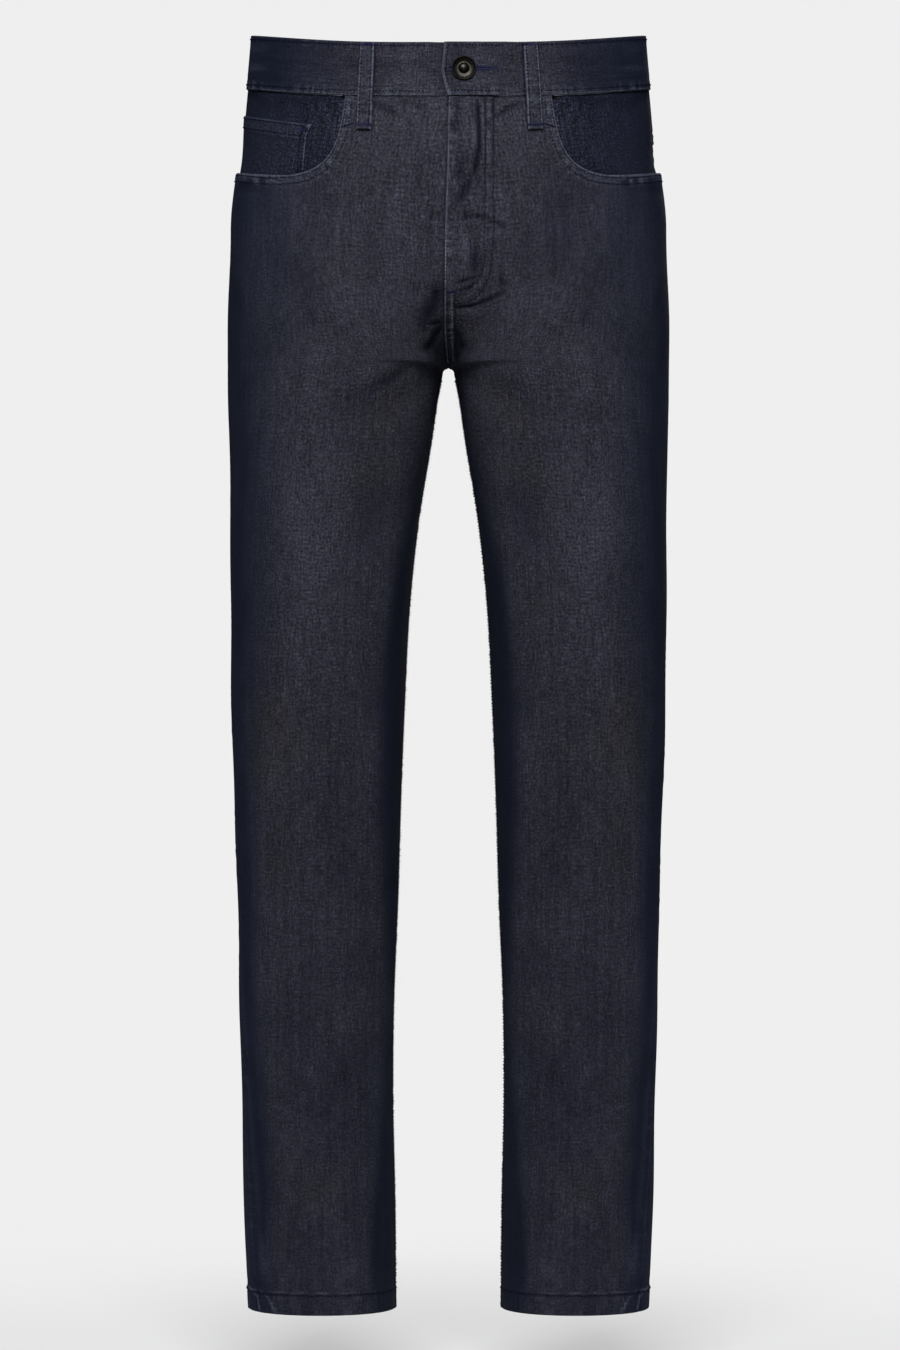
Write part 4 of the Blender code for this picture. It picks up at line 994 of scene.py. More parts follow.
def front_wear_and_shade(side, around, down):
    """Where a front is rubbed pale, and where painted shade darkens its hollows, creases, crotch,
    inner leg and the cloth beside raised edges.
    """
    from_mouth, along_mouth = beside(MOUTH, around, down)
    from_mouth = np.abs(from_mouth)
    raised, waves = front_relief(side, around, down)
    # raised relief painted paler and sunken relief darker: partly roping fade, partly painted light
    # and shade
    wear = (0.60 * waves + 0.10 * raised) / RUB_AND_SHADE_HEIGHT * (1 - 0.5 * ease(down, 0.3, 0.5))
    wear = wear + 0.48 * (bump_at(from_mouth, 0.0017, 0.0010) + bump_at(from_mouth, 0.0070, 0.0016))
    edge = 0.75 + 0.40 * pucker(along_mouth, 0.0054, 1.0)
    wear = wear + edge * bump_at(from_mouth, 0.0002, 0.0009) * ease(down, 0.0443, 0.060)
    edge = 0.16 - 0.14 * ease(down, 0.5, 0.8)
    to_side = from_seam(outseam(down), around, down)
    wear = wear + edge * bump_at(to_side, 0.0005, 0.0015) + hem_wear_and_shade(around, down)
    # painted shadow along the edges of the belt loops
    wear = wear - 0.85 * beside_loops(side * around, down)
    # painted shade in the crotch and down the inner leg; patches rubbed pale or painted shade
    crotch = bump_at(from_seam(0.0, around, down), 0.0, 0.010)
    wear = wear - 0.75 * crotch * bump_at(down, 0.276, 0.028)
    inner = 0.60 * ease(down, 0.38, 0.46) + 0.40 * ease(down, 0.90, 1.00)
    wear = wear - inner * at_inseam(np.abs(around), down) + patches(RUBBED_AND_SHADED, around, down)
    if side == RIGHT:
        from_edge = -plane_x(around, down) - fly_edge_x(down)
        # painted shade in a band below the fly, and a painted shadow along the fly's edge under the
        # lap
        wear = wear - 0.50 * crotch_spread(around, down, 0.018) * bump_at(down, 0.206, 0.018)
        edge = 0.15 + 0.55 * ease(down, 0.10, 0.18)
        wear = wear - edge * bump_at(from_edge, 0.0, 0.0016) * (1 - ease(down, 0.26, 0.28))
        return wear + patches(RUBBED_RIGHT, around, down)
    from_edge = from_fly_edge(around, down)
    edge = 0.95 - 0.45 * ease(down, 0.10, 0.15)
    wear = wear + edge * bump_at(from_edge, 0.0003, 0.0005) * (1 - ease(down, 0.235, 0.262))
    # painted shade in the hollows beside the fly
    wear = wear - 0.85 * bump_at(from_edge, 0.0066, 0.0034) * bump_at(down, 0.055, 0.015)
    wear = wear - 0.50 * bump_at(from_edge, 0.0110, 0.0036) * bump_at(down, 0.092, 0.013)
    off, off_in = beside(J_OUTER, around, down)[0], beside(J_INNER, around, down)[0]
    ground = 0.55 * ease(down, 0.085, 0.115)
    wear = wear + ground * (bump_at(off, 0.0, 0.0013) + bump_at(off_in, 0.0, 0.0013))
    felled = ease(down, 0.182, 0.188) * (1 - ease(down, 0.262, 0.280))
    ridge = bump_at(from_edge, 0.0060, 0.0016) * (0.42 + 0.40 * pucker(down, 0.0074, 2.3))
    # painted shadows beside the felled seam's ridge
    ridge = ridge - 0.75 * bump_at(from_edge, 0.0084, 0.0010)
    ridge = ridge - 0.40 * bump_at(from_edge, 0.0024, 0.0012)
    return wear + felled * ridge + patches(SHADED_LEFT, around, down)


# Patches where a front is painted darker, on both sides and on the wearer's left
DEEPER, DEEPER_LEFT = ((0.25, 0.178, 0.026, 0.402, 0.034),), ((0.45, 0.217, 0.030, 0.150, 0.050),)
MOUTH_PLACES, JOIN_PLACES, FINE_SHARE = 52, 6, 0.47


def front_leg(side):
    """Rows run from the fly edge or inseam out to the pocket mouth or the side seam."""
    mouth_around, mouth_down = mouth_edge(MOUTH_PLACES)
    lower = leg_rows(0.1325, 0.235)
    beside_mouth = np.linspace(BAND_HEIGHT + SEAM_GAP, MOUTH_LOW + MOUTH_TO_FLY, MOUTH_PLACES)
    start_down = np.concatenate((beside_mouth, np.linspace(0.1195, 0.1312, JOIN_PLACES), lower))
    end_down = np.concatenate((mouth_down, np.linspace(0.1178, 0.1312, JOIN_PLACES), lower))
    late = np.concatenate((np.full(MOUTH_PLACES + JOIN_PLACES, 1.6), np.ones(len(lower))))
    end_around = np.concatenate((mouth_around, outseam(end_down[MOUTH_PLACES:])))
    centre = np.where(start_down < FLY_END, -FLY_TUCK, -fly_edge_x(start_down) + SEAM_TRIM)
    if side == LEFT:
        centre = fly_edge_x(start_down) + np.where(start_down < FLY_END, 0.0, SEAM_TRIM)
    at_inner = SEAM_TRIM / stretch(0.0, start_down)
    start_around = np.where(start_down < CROTCH_ROW, around_at(centre, start_down), at_inner)
    end_around = end_around - SEAM_TRIM / stretch(end_around, end_down)

    ends = np.array((0.0, 0.0015, 0.0045))
    t = np.concatenate((ends, np.linspace(0.0085, FINE_SHARE, 74)[:-1],
                        np.linspace(FINE_SHARE, 0.950, 32)[:-1], np.linspace(0.950, 0.9915, 11),
                        1 - ends[::-1]))[None, :]
    around = from_edge_to_edge(start_around, end_around, t)
    down = from_edge_to_edge(start_down, end_down, t ** late[:, None])
    deeper = patches(DEEPER, around, down)
    if side == LEFT:
        deeper = deeper + patches(DEEPER_LEFT, around, down)
    else:
        # on the wearer's right, a band below the fly darkened as painted shade
        deeper = deeper + 0.7 * bump_at(down, 0.204, 0.020) * crotch_spread(around, down, 0.021)
    piece = cloth_piece(f"front_leg_{SIDE_NAMES[side]}", side, around, down,
                        front_lift(side, around, down), leg_thickness(down), denim,
                        front_wear_and_shade(side, around, down), 0.25, deeper)
    finish_cloth(piece, f"front_panel_{SIDE_NAMES[side]}")


front_leg(LEFT)
front_leg(RIGHT)

# ---------------------------------------------------------------------------------------
# Pocket facings and the coin pocket: darker, less faded twill that shows in the pocket
# mouths. The facing runs on behind the front; the coin pocket lies on the wearer's right one.
FACING_DEPTH, FACING_SIDE_DEPTH, FACING_CLOTH = 0.0036, 0.0008, 0.0012
FACING_START, FACING_DOWN, FACING_SLANT = 0.185, 0.155, 0.05
COIN_CLOTH, LIE_GAP = 0.0010, 0.0005
COIN_START, COIN_END, COIN_TOP, COIN_BOTTOM = 0.295, 0.486, 0.068, 0.132
COIN_SLANT, COIN_RISE = 0.006, 0.002
HIP_RUN = 0.36

dark_denim = make_denim("navy_denim", deep=(0.0090, 0.0112, 0.0240),
                        faded=(0.0205, 0.0216, 0.0335), worn=(0.115, 0.130, 0.185),
                        contrast=1.8)


def facing_depth(around, down):
    """How far the pocket facing lies behind the form: least beside the side seam."""
    at_side = ease(around, 0.37, 0.49) * (1 - ease(down, 0.110, 0.160))
    at_top = (1 - ease(down, 0.0445, 0.0620)) * ease(around, 0.236, 0.252)
    return FACING_DEPTH + (FACING_SIDE_DEPTH - FACING_DEPTH) * np.maximum(at_side, at_top)


def pocket_facing(side):
    """The facing's rows run from behind the front out to the side seam."""
    rows = np.linspace(0.0, 1.0, 44)[:, None]
    start = FACING_START + FACING_SLANT * rows
    end = 0.5 - SEAM_GAP / 2 / stretch(0.5, 0.1)
    around = start + (end - start) * spread(52)[None, :]
    top = BAND_HEIGHT + SEAM_GAP - 0.003 * (1 - ease(around, 0.232, 0.240))
    down = top + (FACING_DOWN - top) * rows
    gathers = pucker(around * HIP_RUN, 0.017, 0.9 + side) * (1 - ease(down, 0.046, 0.066))
    lift = -facing_depth(around, down) + 0.00020 * gathers
    # painted shadow under the band and along the pocket mouth, and painted shade in two corners
    shadow_under_band = 0.45 * bump_at(down, 0.0480, 0.0050)
    by_mouth = np.abs(beside(MOUTH, around, down)[0])
    facing_shade = np.maximum(shadow_under_band, 0.75 * bump_at(by_mouth, 0.0, 0.0042) * ease(down, 0.07, 0.10))
    by_corner = bump_at(around, 0.300, 0.020) * bump_at(down, 0.0640, 0.0035)
    facing_shade = facing_shade + 0.5 * by_corner + 0.5 * bump_at(around, 0.270, 0.016) \
        * bump_at(down, 0.088, 0.006)
    # the gathers painted paler on their crests and darker between: partly wear, partly their light
    # and shade
    piece = cloth_piece(f"facing_{SIDE_NAMES[side]}", side, around, down, lift, FACING_CLOTH,
                        dark_denim, 0.35 * gathers * bump_at(down, 0.047, 0.012) - facing_shade, 0.40)
    finish_cloth(piece, f"pocket_facing_{SIDE_NAMES[side]}")


def coin_edge(share):
    """The coin pocket's free edge, from its top corner down."""
    flare, slant = 0.0075 * (1 - ease(share, -0.06, 0.17)), COIN_SLANT * ease(share, 0.1, 1.0)
    return COIN_START - flare - slant, COIN_TOP + (COIN_BOTTOM - COIN_TOP) * share


def coin_top(around):
    """The coin pocket's top edge rises towards the side seam."""
    return COIN_TOP - COIN_RISE * (around - COIN_START) / (COIN_END - COIN_START)


def coin_lift(around, down):
    """The coin pocket's outer face, with its turned edges raised and its rows pressed in, and
    the distances from its free side and its top."""
    share = (down - COIN_TOP) / (COIN_BOTTOM - COIN_TOP)
    from_side = (around - coin_edge(share)[0]) * stretch(around, down)
    from_top = down - coin_top(around)
    turned = np.maximum(1 - ease(from_side, 0.0052, 0.0066), 1 - ease(from_top, 0.0104, 0.0118))
    ruffle = 0.00016 * pucker(around * HIP_RUN, 0.0072, 0.5) * bump_at(from_top, 0.004, 0.004)
    rows = bump_at(from_side, 0.0052, 0.0008) + bump_at(from_top, 0.0098, 0.0009)
    under = facing_depth(around, down) - LIE_GAP
    return COIN_CLOTH - under + 0.0004 * turned + ruffle - 0.00018 * rows, from_side, from_top


def on_coin(around, down):
    """The coin pocket's outer face, for what is sewn to it."""
    return coin_lift(around, down)[0]


pocket_facing(LEFT)
pocket_facing(RIGHT)
share = np.linspace(0.0, 1.0, 40)[:, None]
start_around, start_down = coin_edge(share)
end_down = COIN_TOP - COIN_RISE * (1 - share) + (COIN_BOTTOM - COIN_TOP) * share
t = spread(52, 0.4)[None, :]
around = start_around + (COIN_END - start_around) * t
down = start_down + (end_down - start_down) * t
lift, from_side, from_top = coin_lift(around, down)
wear = np.maximum(0.80 * bump_at(from_side, 0.0002, 0.0008), 0.14 * bump_at(from_top, 0.0, 0.0010))
wear = wear + 0.10 * (1 - ease(from_top, 0.0095, 0.0110))
frayed = bump_at(from_side, 0.0020, 0.0030) * bump_at(from_top, 0.0045, 0.0035)
wear = wear + 0.60 * frayed + 0.50 * bump_at(from_top, 0.0112, 0.0008)
# painted shadows under the turned top hem, beside the side row and along the pocket mouth
wear = wear - 0.45 * (bump_at(from_top, 0.0130, 0.0014) + bump_at(from_side, 0.0052, 0.0010))
wear = wear - 0.6 * bump_at(np.abs(beside(MOUTH, around, down)[0]), 0.0, 0.0036)
coin = cloth_piece("coin_pocket_patch", RIGHT, around, down, lift, COIN_CLOTH, dark_denim, wear,
                   0.40, -0.22)
finish_cloth(coin, "coin_pocket")

# ---------------------------------------------------------------------------------------
# The yokes and back legs: a shaped yoke over each seat half, felled to the back leg, which
# runs to the hem. The centre back seam is felled too, and lies to the wearer's left.
YOKE_SIDE, YOKE_CENTRE = 0.080, 0.116
SEAT_MIDDLE, SEAT_RUN = 0.735, 0.40


def yoke_seam(around):
    """The yoke seam falls from the side to the centre back."""
    return YOKE_SIDE + (YOKE_CENTRE - YOKE_SIDE) * (around - 0.5) / 0.5


def seam_relief(away, along, pitch, seed, width=0.0086):
    """A felled seam: raised over its allowance, puckered between its two rows of stitches."""
    raised = 0.0005 * (1 - ease(away, width - 0.0012, width)) * ease(away, -0.0002, 0.0006)
    waves = 0.00026 * pucker(along, pitch, seed) * bump_at(away, 0.5 * width, 0.5 * width)
    rows = bump_at(away, 0.0016, 0.0009) + bump_at(away, width - 0.0016, 0.0009)
    return raised + waves - 0.0002 * rows


def centre_back(side, around, down):
    """The felled centre back seam, on the wearer's left of the centre."""
    away = from_seam(1.0, around, down)
    above = 1 - ease(down, 0.27, 0.285)
    if side == LEFT:
        return above * seam_relief(away, down, 0.0088, 0.9)
    return above * (-0.0003 * bump_at(away, 0.0, 0.0012)
                    + 0.00018 * pucker(down, 0.0090, 2.0) * bump_at(away, 0.003, 0.004))


def back_relief(side, around, down):
    """Seams raised from or pressed into a back leg."""
    relief = centre_back(side, around, down)
    relief = relief + seam_relief(down - yoke_seam(around), around * SEAT_RUN, 0.0082, 0.3 + side)
    to_inseam = from_seam(1.0, around, down)
    inseam = 0.00030 * pucker(down, 0.0078, 0.4 - side) * bump_at(to_inseam, 0.002, 0.005)
    inseam = inseam - 0.0003 * bump_at(to_inseam, 0.0, 0.0012)
    return relief + side_seam(side, around, down) + ease(down, 0.285, 0.300) * inseam


def back_lift(side, around, down):
    """The outer face of a back leg over the form."""
    return back_relief(side, around, down) + hem_relief(around, down)


def back_leg(side):
    """Rows run from the side seam in to the centre back or the inseam."""
    near = np.linspace(YOKE_SIDE, 0.1420, 30)[1:]
    start_down = np.concatenate((YOKE_SIDE + np.array((SEAM_TRIM, 0.0006)), near,
                                 np.linspace(0.1445, 0.1560, 5), leg_rows(0.158, 0.170)))
    level = ease(start_down, YOKE_SIDE, 0.1570)
    end_down = start_down + (YOKE_CENTRE - YOKE_SIDE) * (1 - level)
    start_around = outseam(start_down)
    start_around = start_around + SEAM_TRIM / stretch(start_around, start_down)
    end_around = 1 - SEAM_TRIM / stretch(1.0, end_down)
    t = spread(92)[None, :]
    around = from_edge_to_edge(start_around, end_around, t)
    down = from_edge_to_edge(start_down, end_down, t)
    # raised relief painted paler and sunken relief darker: partly roping fade, partly painted light
    # and shade
    wear = 0.34 * back_relief(side, around, down) / RUB_AND_SHADE_HEIGHT * (1 - 0.5 * ease(down, 0.3, 0.5))
    # painted shade down the inner leg
    wear = wear - 0.55 * at_inseam(1 - around, down) * ease(down, 0.38, 0.46)
    to_side = from_seam(outseam(down), around, down)
    wear = wear + 0.16 * bump_at(to_side, 0.0005, 0.0015) + hem_wear_and_shade(around, down)
    wear = wear + 0.45 * bump_at(down - yoke_seam(around), 0.0004, 0.0009)
    away = from_seam(1.0, around, down)
    if side == LEFT:
        wear = wear + 0.40 * bump_at(away, 0.0004, 0.0009) * (1 - ease(down, 0.25, 0.28))
    # painted shade in the crotch
    wear = wear - 0.6 * bump_at(away, 0.0, 0.010) * bump_at(down, 0.272, 0.030)
    piece = cloth_piece(f"back_leg_{SIDE_NAMES[side]}", side, around, down,
                        back_lift(side, around, down), leg_thickness(down), denim, wear,
                        SEAT_MIDDLE)
    finish_cloth(piece, f"back_panel_{SIDE_NAMES[side]}")


def yoke(side):
    """Rows run from the side seam in to the centre back."""
    rows = spread(34, 0.3, 0.008)[:, None]
    start = 0.5 + SEAM_TRIM / stretch(0.5, 0.06)
    end = 1 - SEAM_TRIM / stretch(1.0, 0.08)
    across = start + (end - start) * spread(96)[None, :]
    top = BAND_HEIGHT + SEAM_GAP
    down = top + (yoke_seam(across) - top) * rows
    around = np.broadcast_to(across, down.shape)
    to_seam = yoke_seam(around) - down
    relief = centre_back(side, around, down) - 0.0003 * bump_at(to_seam, 0.0, 0.0010)
    relief = relief + 0.0003 * pucker(around * SEAT_RUN, 0.0082, 0.3 + side) \
        * bump_at(to_seam, 0.002, 0.004)
    # raised relief painted paler and the pressed yoke seam darker: partly wear, partly painted light
    # and shade
    wear = 0.42 * relief / RUB_AND_SHADE_HEIGHT
    if side == LEFT:
        wear = wear + 0.40 * bump_at(from_seam(1.0, around, down), 0.0004, 0.0009)
    piece = cloth_piece(f"yoke_{SIDE_NAMES[side]}_cloth", side, around, down, relief, CLOTH,
                        denim, wear, SEAT_MIDDLE)
    finish_cloth(piece, f"yoke_{SIDE_NAMES[side]}")


for side in (LEFT, RIGHT):
    back_leg(side)
    yoke(side)

# ---------------------------------------------------------------------------------------
# The back pockets: five-cornered patches with a turned top hem, sewn on with two rows of
# stitches. They are left plain between the rows.
POCKET_TOP_WIDTH, POCKET_LOW_WIDTH = 0.146, 0.122
POCKET_SIDE_HEIGHT, POCKET_POINT = 0.132, 0.018
POCKET_TOP = 0.136
POCKET_CLOTH, POCKET_GAP = 0.0011, 0.0009
POCKET_HEM = 0.024

run = form(SEAT_MIDDLE + np.array((-0.05, 0.05)), POCKET_TOP + POCKET_SIDE_HEIGHT / 2)
pocket_per_metre = 0.1 / np.linalg.norm(run[1] - run[0])


def pocket_size(across, share):
    """The pocket's width at a share of its height, and its height at a place across."""
    return (POCKET_TOP_WIDTH + (POCKET_LOW_WIDTH - POCKET_TOP_WIDTH) * share,
            POCKET_SIDE_HEIGHT + POCKET_POINT * (1 - np.abs(2 * across)))


def pocket_place(across, share):
    """A place on the pocket: across from -0.5 to 0.5, share from 0 at the top to 1."""
    width, height = pocket_size(across, share)
    return SEAT_MIDDLE + across * width * pocket_per_metre, POCKET_TOP + height * share


def pocket_edges(across, share):
    """Distances in metres from the pocket's sides, its lower edges and its top."""
    width, height = pocket_size(across, share)
    return (0.5 - np.abs(across)) * width, (1 - share) * height, share * height


def pocket_lift(across, share):
    """The pocket's outer face: turned edges and the top hem are raised, and the rows of
    stitches are pressed in."""
    side_off, low_off, top_off = pocket_edges(across, share)
    nearest = np.minimum(side_off, low_off)
    turned = np.maximum(1 - ease(nearest, 0.0085, 0.0100),
                        1 - ease(top_off, POCKET_HEM - 0.001, POCKET_HEM + 0.001))
    along = share * POCKET_SIDE_HEIGHT + across * 0.06
    waves = 0.00020 * pucker(along, 0.0080, 0.7) * bump_at(nearest, 0.004, 0.004)
    bag = 0.0004 * bump_at(across, 0.0, 0.3) * bump_at(share, 0.12, 0.10)
    rows = bump_at(nearest, 0.0018, 0.0009) + bump_at(nearest, 0.0080, 0.0009)
    return POCKET_GAP + POCKET_CLOTH + 0.00035 * turned + waves + bag - 0.00018 * rows


def on_pocket(around, down):
    """The pocket's outer face at a place on the garment, for what is sewn to it."""
    share = (down - POCKET_TOP) / (POCKET_SIDE_HEIGHT + POCKET_POINT / 2)
    across = (around - SEAT_MIDDLE) / (pocket_size(0.0, share)[0] * pocket_per_metre)
    share = (down - POCKET_TOP) / pocket_size(across, share)[1]
    return pocket_lift(np.clip(across, -0.5, 0.5), np.clip(share, 0.0, 1.0))


across = (spread(60, 0.35) - 0.5)[None, :]
share = spread(60, 0.35)[:, None]
around, down = pocket_place(across, share)
side_off, low_off, top_off = pocket_edges(across, share)
lift = pocket_lift(across, share)
rubbed_and_shaded = np.maximum(bump_at(np.minimum(side_off, low_off), 0.0003, 0.0010),
                    bump_at(top_off, 0.0003, 0.0012))
# raised hem and bag painted paler and pressed rows darker: partly wear, partly painted light and
# shade
rubbed_and_shaded = 0.50 * rubbed_and_shaded + 0.22 * (lift - POCKET_GAP - POCKET_CLOTH) / RUB_AND_SHADE_HEIGHT
for side, name in SIDE_NAMES.items():
    patch = cloth_piece(f"back_pocket_{name}_patch", side, around, down, lift, POCKET_CLOTH,
                        denim, rubbed_and_shaded, SEAT_MIDDLE)
    finish_cloth(patch, f"back_pocket_{name}")

# ---------------------------------------------------------------------------------------
# The waistband: one doubled strip, seamed to the garment along its lower edge. The wearer's
# left end laps over the right end and is worked with a buttonhole.
BAND_CLOTH, BAND_PROUD = 0.0026, 0.0012
UNDERLAP_END, LAP_END, LAP_SHIFT = 0.041, -0.003, 0.0015
LAP_CLEAR, LAP_STEP = 0.004, 0.012
BUTTON_X, BUTTON_DOWN, BUTTON_RADIUS = 0.0123, 0.022, 0.0100
BUTTONHOLE_FROM, BUTTONHOLE_TO = -0.0002, 0.0375
TOP_ROW, LOW_ROW, END_ROW = 0.0030, BAND_HEIGHT - 0.0036, 0.0030
BAND_ROWS, TUCKED_COLUMNS, LAPPED_COLUMNS = 38, 30, 34


def lap_edge_x(down):
    """The free end of the overlap leans out at its lower corner."""
    return np.interp(down, (0.0, 0.010, 0.024, 0.032, 0.044),
                     (-0.0034, -0.0042, -0.0056, -0.0040, -0.0008))


def band_lift(around, down):
    """The band's outer face over the form, without the overlap's shift: a rolled top edge,
    rows of stitches pressed in, a faint pressed line, and puckers along the lower seam."""
    run = around * HALF_GIRTH
    low = 0.00040 * pucker(run, 0.0074, 0.8) * bump_at(down, BAND_HEIGHT - 0.002, 0.005)
    top = 0.00028 * pucker(run, 0.0068, 1.9) * bump_at(down, 0.003, 0.004)
    rows = bump_at(down, TOP_ROW, 0.0009) + bump_at(down, LOW_ROW, 0.0009)
    pressed = 0.0002 * bump_at(down, BAND_HEIGHT - 0.0085, 0.0014)
    swell = 0.00028 * np.sin(run * 61.0 + 1.0) * np.sin(run * 23.0) * bump_at(down, 0.022, 0.014)
    return BAND_PROUD + low + top + swell - 0.0002 * rows - pressed


down = spread(BAND_ROWS, 0.3, 0.006)[:, None] * (BAND_HEIGHT + SEAM_GAP - SEAM_TRIM)
tucked_x = np.linspace(UNDERLAP_END, LAP_END - LAP_CLEAR, TUCKED_COLUMNS)
tucked = around_at(tucked_x, down)
lapped_x = np.linspace(UNDERLAP_END + LAP_CLEAR, LAP_END, LAPPED_COLUMNS)
lean = ease(np.linspace(0.0, 1.0, LAPPED_COLUMNS), 0.3, 1.0)
lapped = around_at(lapped_x + (lap_edge_x(down) - LAP_END) * lean, down) - 2.0
ring_start = around_at(LAP_END - LAP_CLEAR - LAP_STEP, BUTTON_DOWN)
ring_end = around_at(UNDERLAP_END + LAP_CLEAR + LAP_STEP, BUTTON_DOWN) - 2.0
per_metre = 1.0 / stretch(np.array([top for top, _ in LOOPS.values()]), BUTTON_DOWN)
off_loop = LOOP_WIDTH / 2 + np.array((-0.0012, -0.0004, 0.0004, 0.0012, 0.0021))
by_loops = [(top - 2.0 if top > 0.0 else top) + sign * off_loop * scale
            for (top, _), scale in zip(LOOPS.values(), per_metre) for sign in (-1, 1)]
ring = np.sort(np.concatenate([np.linspace(ring_start, ring_end, 420)] + by_loops))[::-1]
steps = np.linspace(0.0, 1.0, 8)[1:-1]
step_in = tucked[:, -1:] + (ring_start - tucked[:, -1:]) * steps
step_out = ring_end + (lapped[:, :1] - ring_end) * steps
around = np.concatenate((tucked, step_in, np.broadcast_to(ring, (BAND_ROWS, len(ring))),
                         step_out, lapped), axis=1)
level = np.concatenate((np.full(TUCKED_COLUMNS, -1.0), ease(steps, 0, 1) - 1, 0.0 * ring,
                        ease(steps, 0, 1), np.ones(LAPPED_COLUMNS)))
down = np.broadcast_to(down, around.shape)
x = plane_x(around, down)
on_lap = np.arange(around.shape[1]) >= around.shape[1] - LAPPED_COLUMNS - 2
slit = ease(x, BUTTONHOLE_FROM, BUTTONHOLE_FROM + 0.001)
slit = slit * (1 - ease(x, BUTTONHOLE_TO - 0.001, BUTTONHOLE_TO))
slit = slit * on_lap * bump_at(down, BUTTON_DOWN, 0.0008)
lift = band_lift(around, down) + LAP_SHIFT * level - 0.0007 * slit
from_end = np.where(on_lap, x - lap_edge_x(down), 9.0)
# raised relief painted paler and pressed rows darker: partly wear, partly painted light and shade
wear = 0.30 * (band_lift(around, down) - BAND_PROUD) / 0.0004
broad = 0.0009 + 0.0009 * ease(down, 0.024, 0.042)
wear = wear + 1.5 * bump_at(from_end, 0.0004, broad) + 0.22 * bump_at(down, 0.0006, 0.0012)
ground = 0.26 - 0.16 * ease(np.abs(x), 0.10, 0.15)
wear = wear + ground * (bump_at(down, TOP_ROW, 0.0016) + bump_at(down, LOW_ROW, 0.0016))
wear = wear + 0.50 * bump_at(down, BAND_HEIGHT - 0.0003, 0.0007)
# the buttonhole's slit is painted dark as shade, and painted shadows run beside the belt loops
wear = wear - 0.8 * slit - 0.85 * beside_loops(around, down) * (np.abs(level) < 0.5)
at_sides = ease(np.abs(np.sin(np.pi * x / 0.33)), 0.55, 0.95)
streaks = 0.0
for at, wide, pitch in ((0.0150, 0.0018, 0.061), (0.0310, 0.0016, 0.074), (0.0225, 0.0022, 0.083)):
    uneven = np.maximum(pucker(around * HALF_GIRTH, pitch, at * 90), 0.0)
    streaks = streaks + bump_at(down, at, wide) * uneven
wear = wear - 0.45 * at_sides * streaks
across = 0.6 + 0.5 * pucker(around * HALF_GIRTH, 0.053, 1.7)
wear = wear - 0.34 * across * bump_at(down, 0.0185, 0.0042) * (np.abs(level) < 0.5)
wear = wear + 0.12 * bump_at(down, 0.0350, 0.0030) - 0.30 * bump_at(down, 0.0030, 0.0018)
wear = wear - 0.34 * ease(np.abs(x), 0.115, 0.150) * bump_at(down, 0.0330, 0.0030)
# painted shadow on the under end beside the overlap's edge
wear = wear - 0.45 * (level < -0.5) * bump_at(x, -0.0045, 0.0030)
# darker towards the sides: partly indigo kept, partly painted shade where the band turns from the
# light
unfaded_and_side_shade = 0.06 + 0.14 * ease(np.abs(x), 0.02, 0.12) + 0.35 * ease(np.abs(x), 0.135, 0.165)
band = cloth_piece("waistband_strip", LEFT, around, down, lift, BAND_CLOTH, denim, wear, -0.5,
                   unfaded_and_side_shade, warp_along=True)
finish_cloth(band, "waistband")

# ---------------------------------------------------------------------------------------
# Belt loops: narrow folded strips that stand off the band between their sewn ends.
LOOP_CLOTH, LOOP_SLACK = 0.0017, 0.0021


def loop_pucker(tops, share):
    """How the folded cloth of a loop draws up along its length."""
    return pucker(share * LOOP_BOTTOM, 0.0068, tops[0] * 9)


def loop_place(tops, across, share):
    """A place on a loop, and how far its outer face stands off the form."""
    down = LOOP_TOP + (LOOP_BOTTOM - LOOP_TOP) * share
    run = place_on(LEFT, tops[0] + np.array((-0.01, 0.01)), 0.02)[0]
    per_metre = 0.02 / np.linalg.norm(run[1] - run[0])
    around = tops[0] + (tops[1] - tops[0]) * share + across * LOOP_WIDTH * per_metre
    on_band = 1 - ease(down, BAND_HEIGHT - 0.002, LOOP_BOTTOM - 0.006)
    slack = LOOP_SLACK * np.sin(np.pi * np.clip(share / 0.92, 0, 1)) ** 1.2
    lift = LIE_GAP + BAND_PROUD * on_band + slack + 0.0002 + LOOP_CLOTH
    crown = 0.00035 * (1 - (2 * across) ** 4) * ease(share, 0.02, 0.1)
    waves = 0.00022 * loop_pucker(tops, share) * bump_at(np.abs(across), 0.42, 0.2)
    return around, down, lift + crown + waves


across = (spread(18, 0.3, 0.02) - 0.5)[None, :]
share = spread(60, 0.1, 0.004)[:, None]
for node, tops in LOOPS.items():
    around, down, lift = loop_place(tops, across, share)
    rough = loop_pucker(tops, share)
    at_edge = bump_at(np.abs(across) * LOOP_WIDTH, 0.5 * LOOP_WIDTH, 0.0015)
    # pale rubbed edges; puckers painted paler and darker, partly wear, partly their light and shade
    rubbed_and_shaded = (0.95 + 0.50 * rough) * at_edge + 0.10 + 0.16 * rough
    # painted shade along the two rows of stitches
    rubbed_and_shaded = rubbed_and_shaded - 0.20 * bump_at(np.abs(across), 0.33, 0.06)
    loop = cloth_piece(f"{node}_strip", LEFT, around, down, lift, LOOP_CLOTH, denim, rubbed_and_shaded,
                       tops[0], 0.1)
    finish_cloth(loop, node)

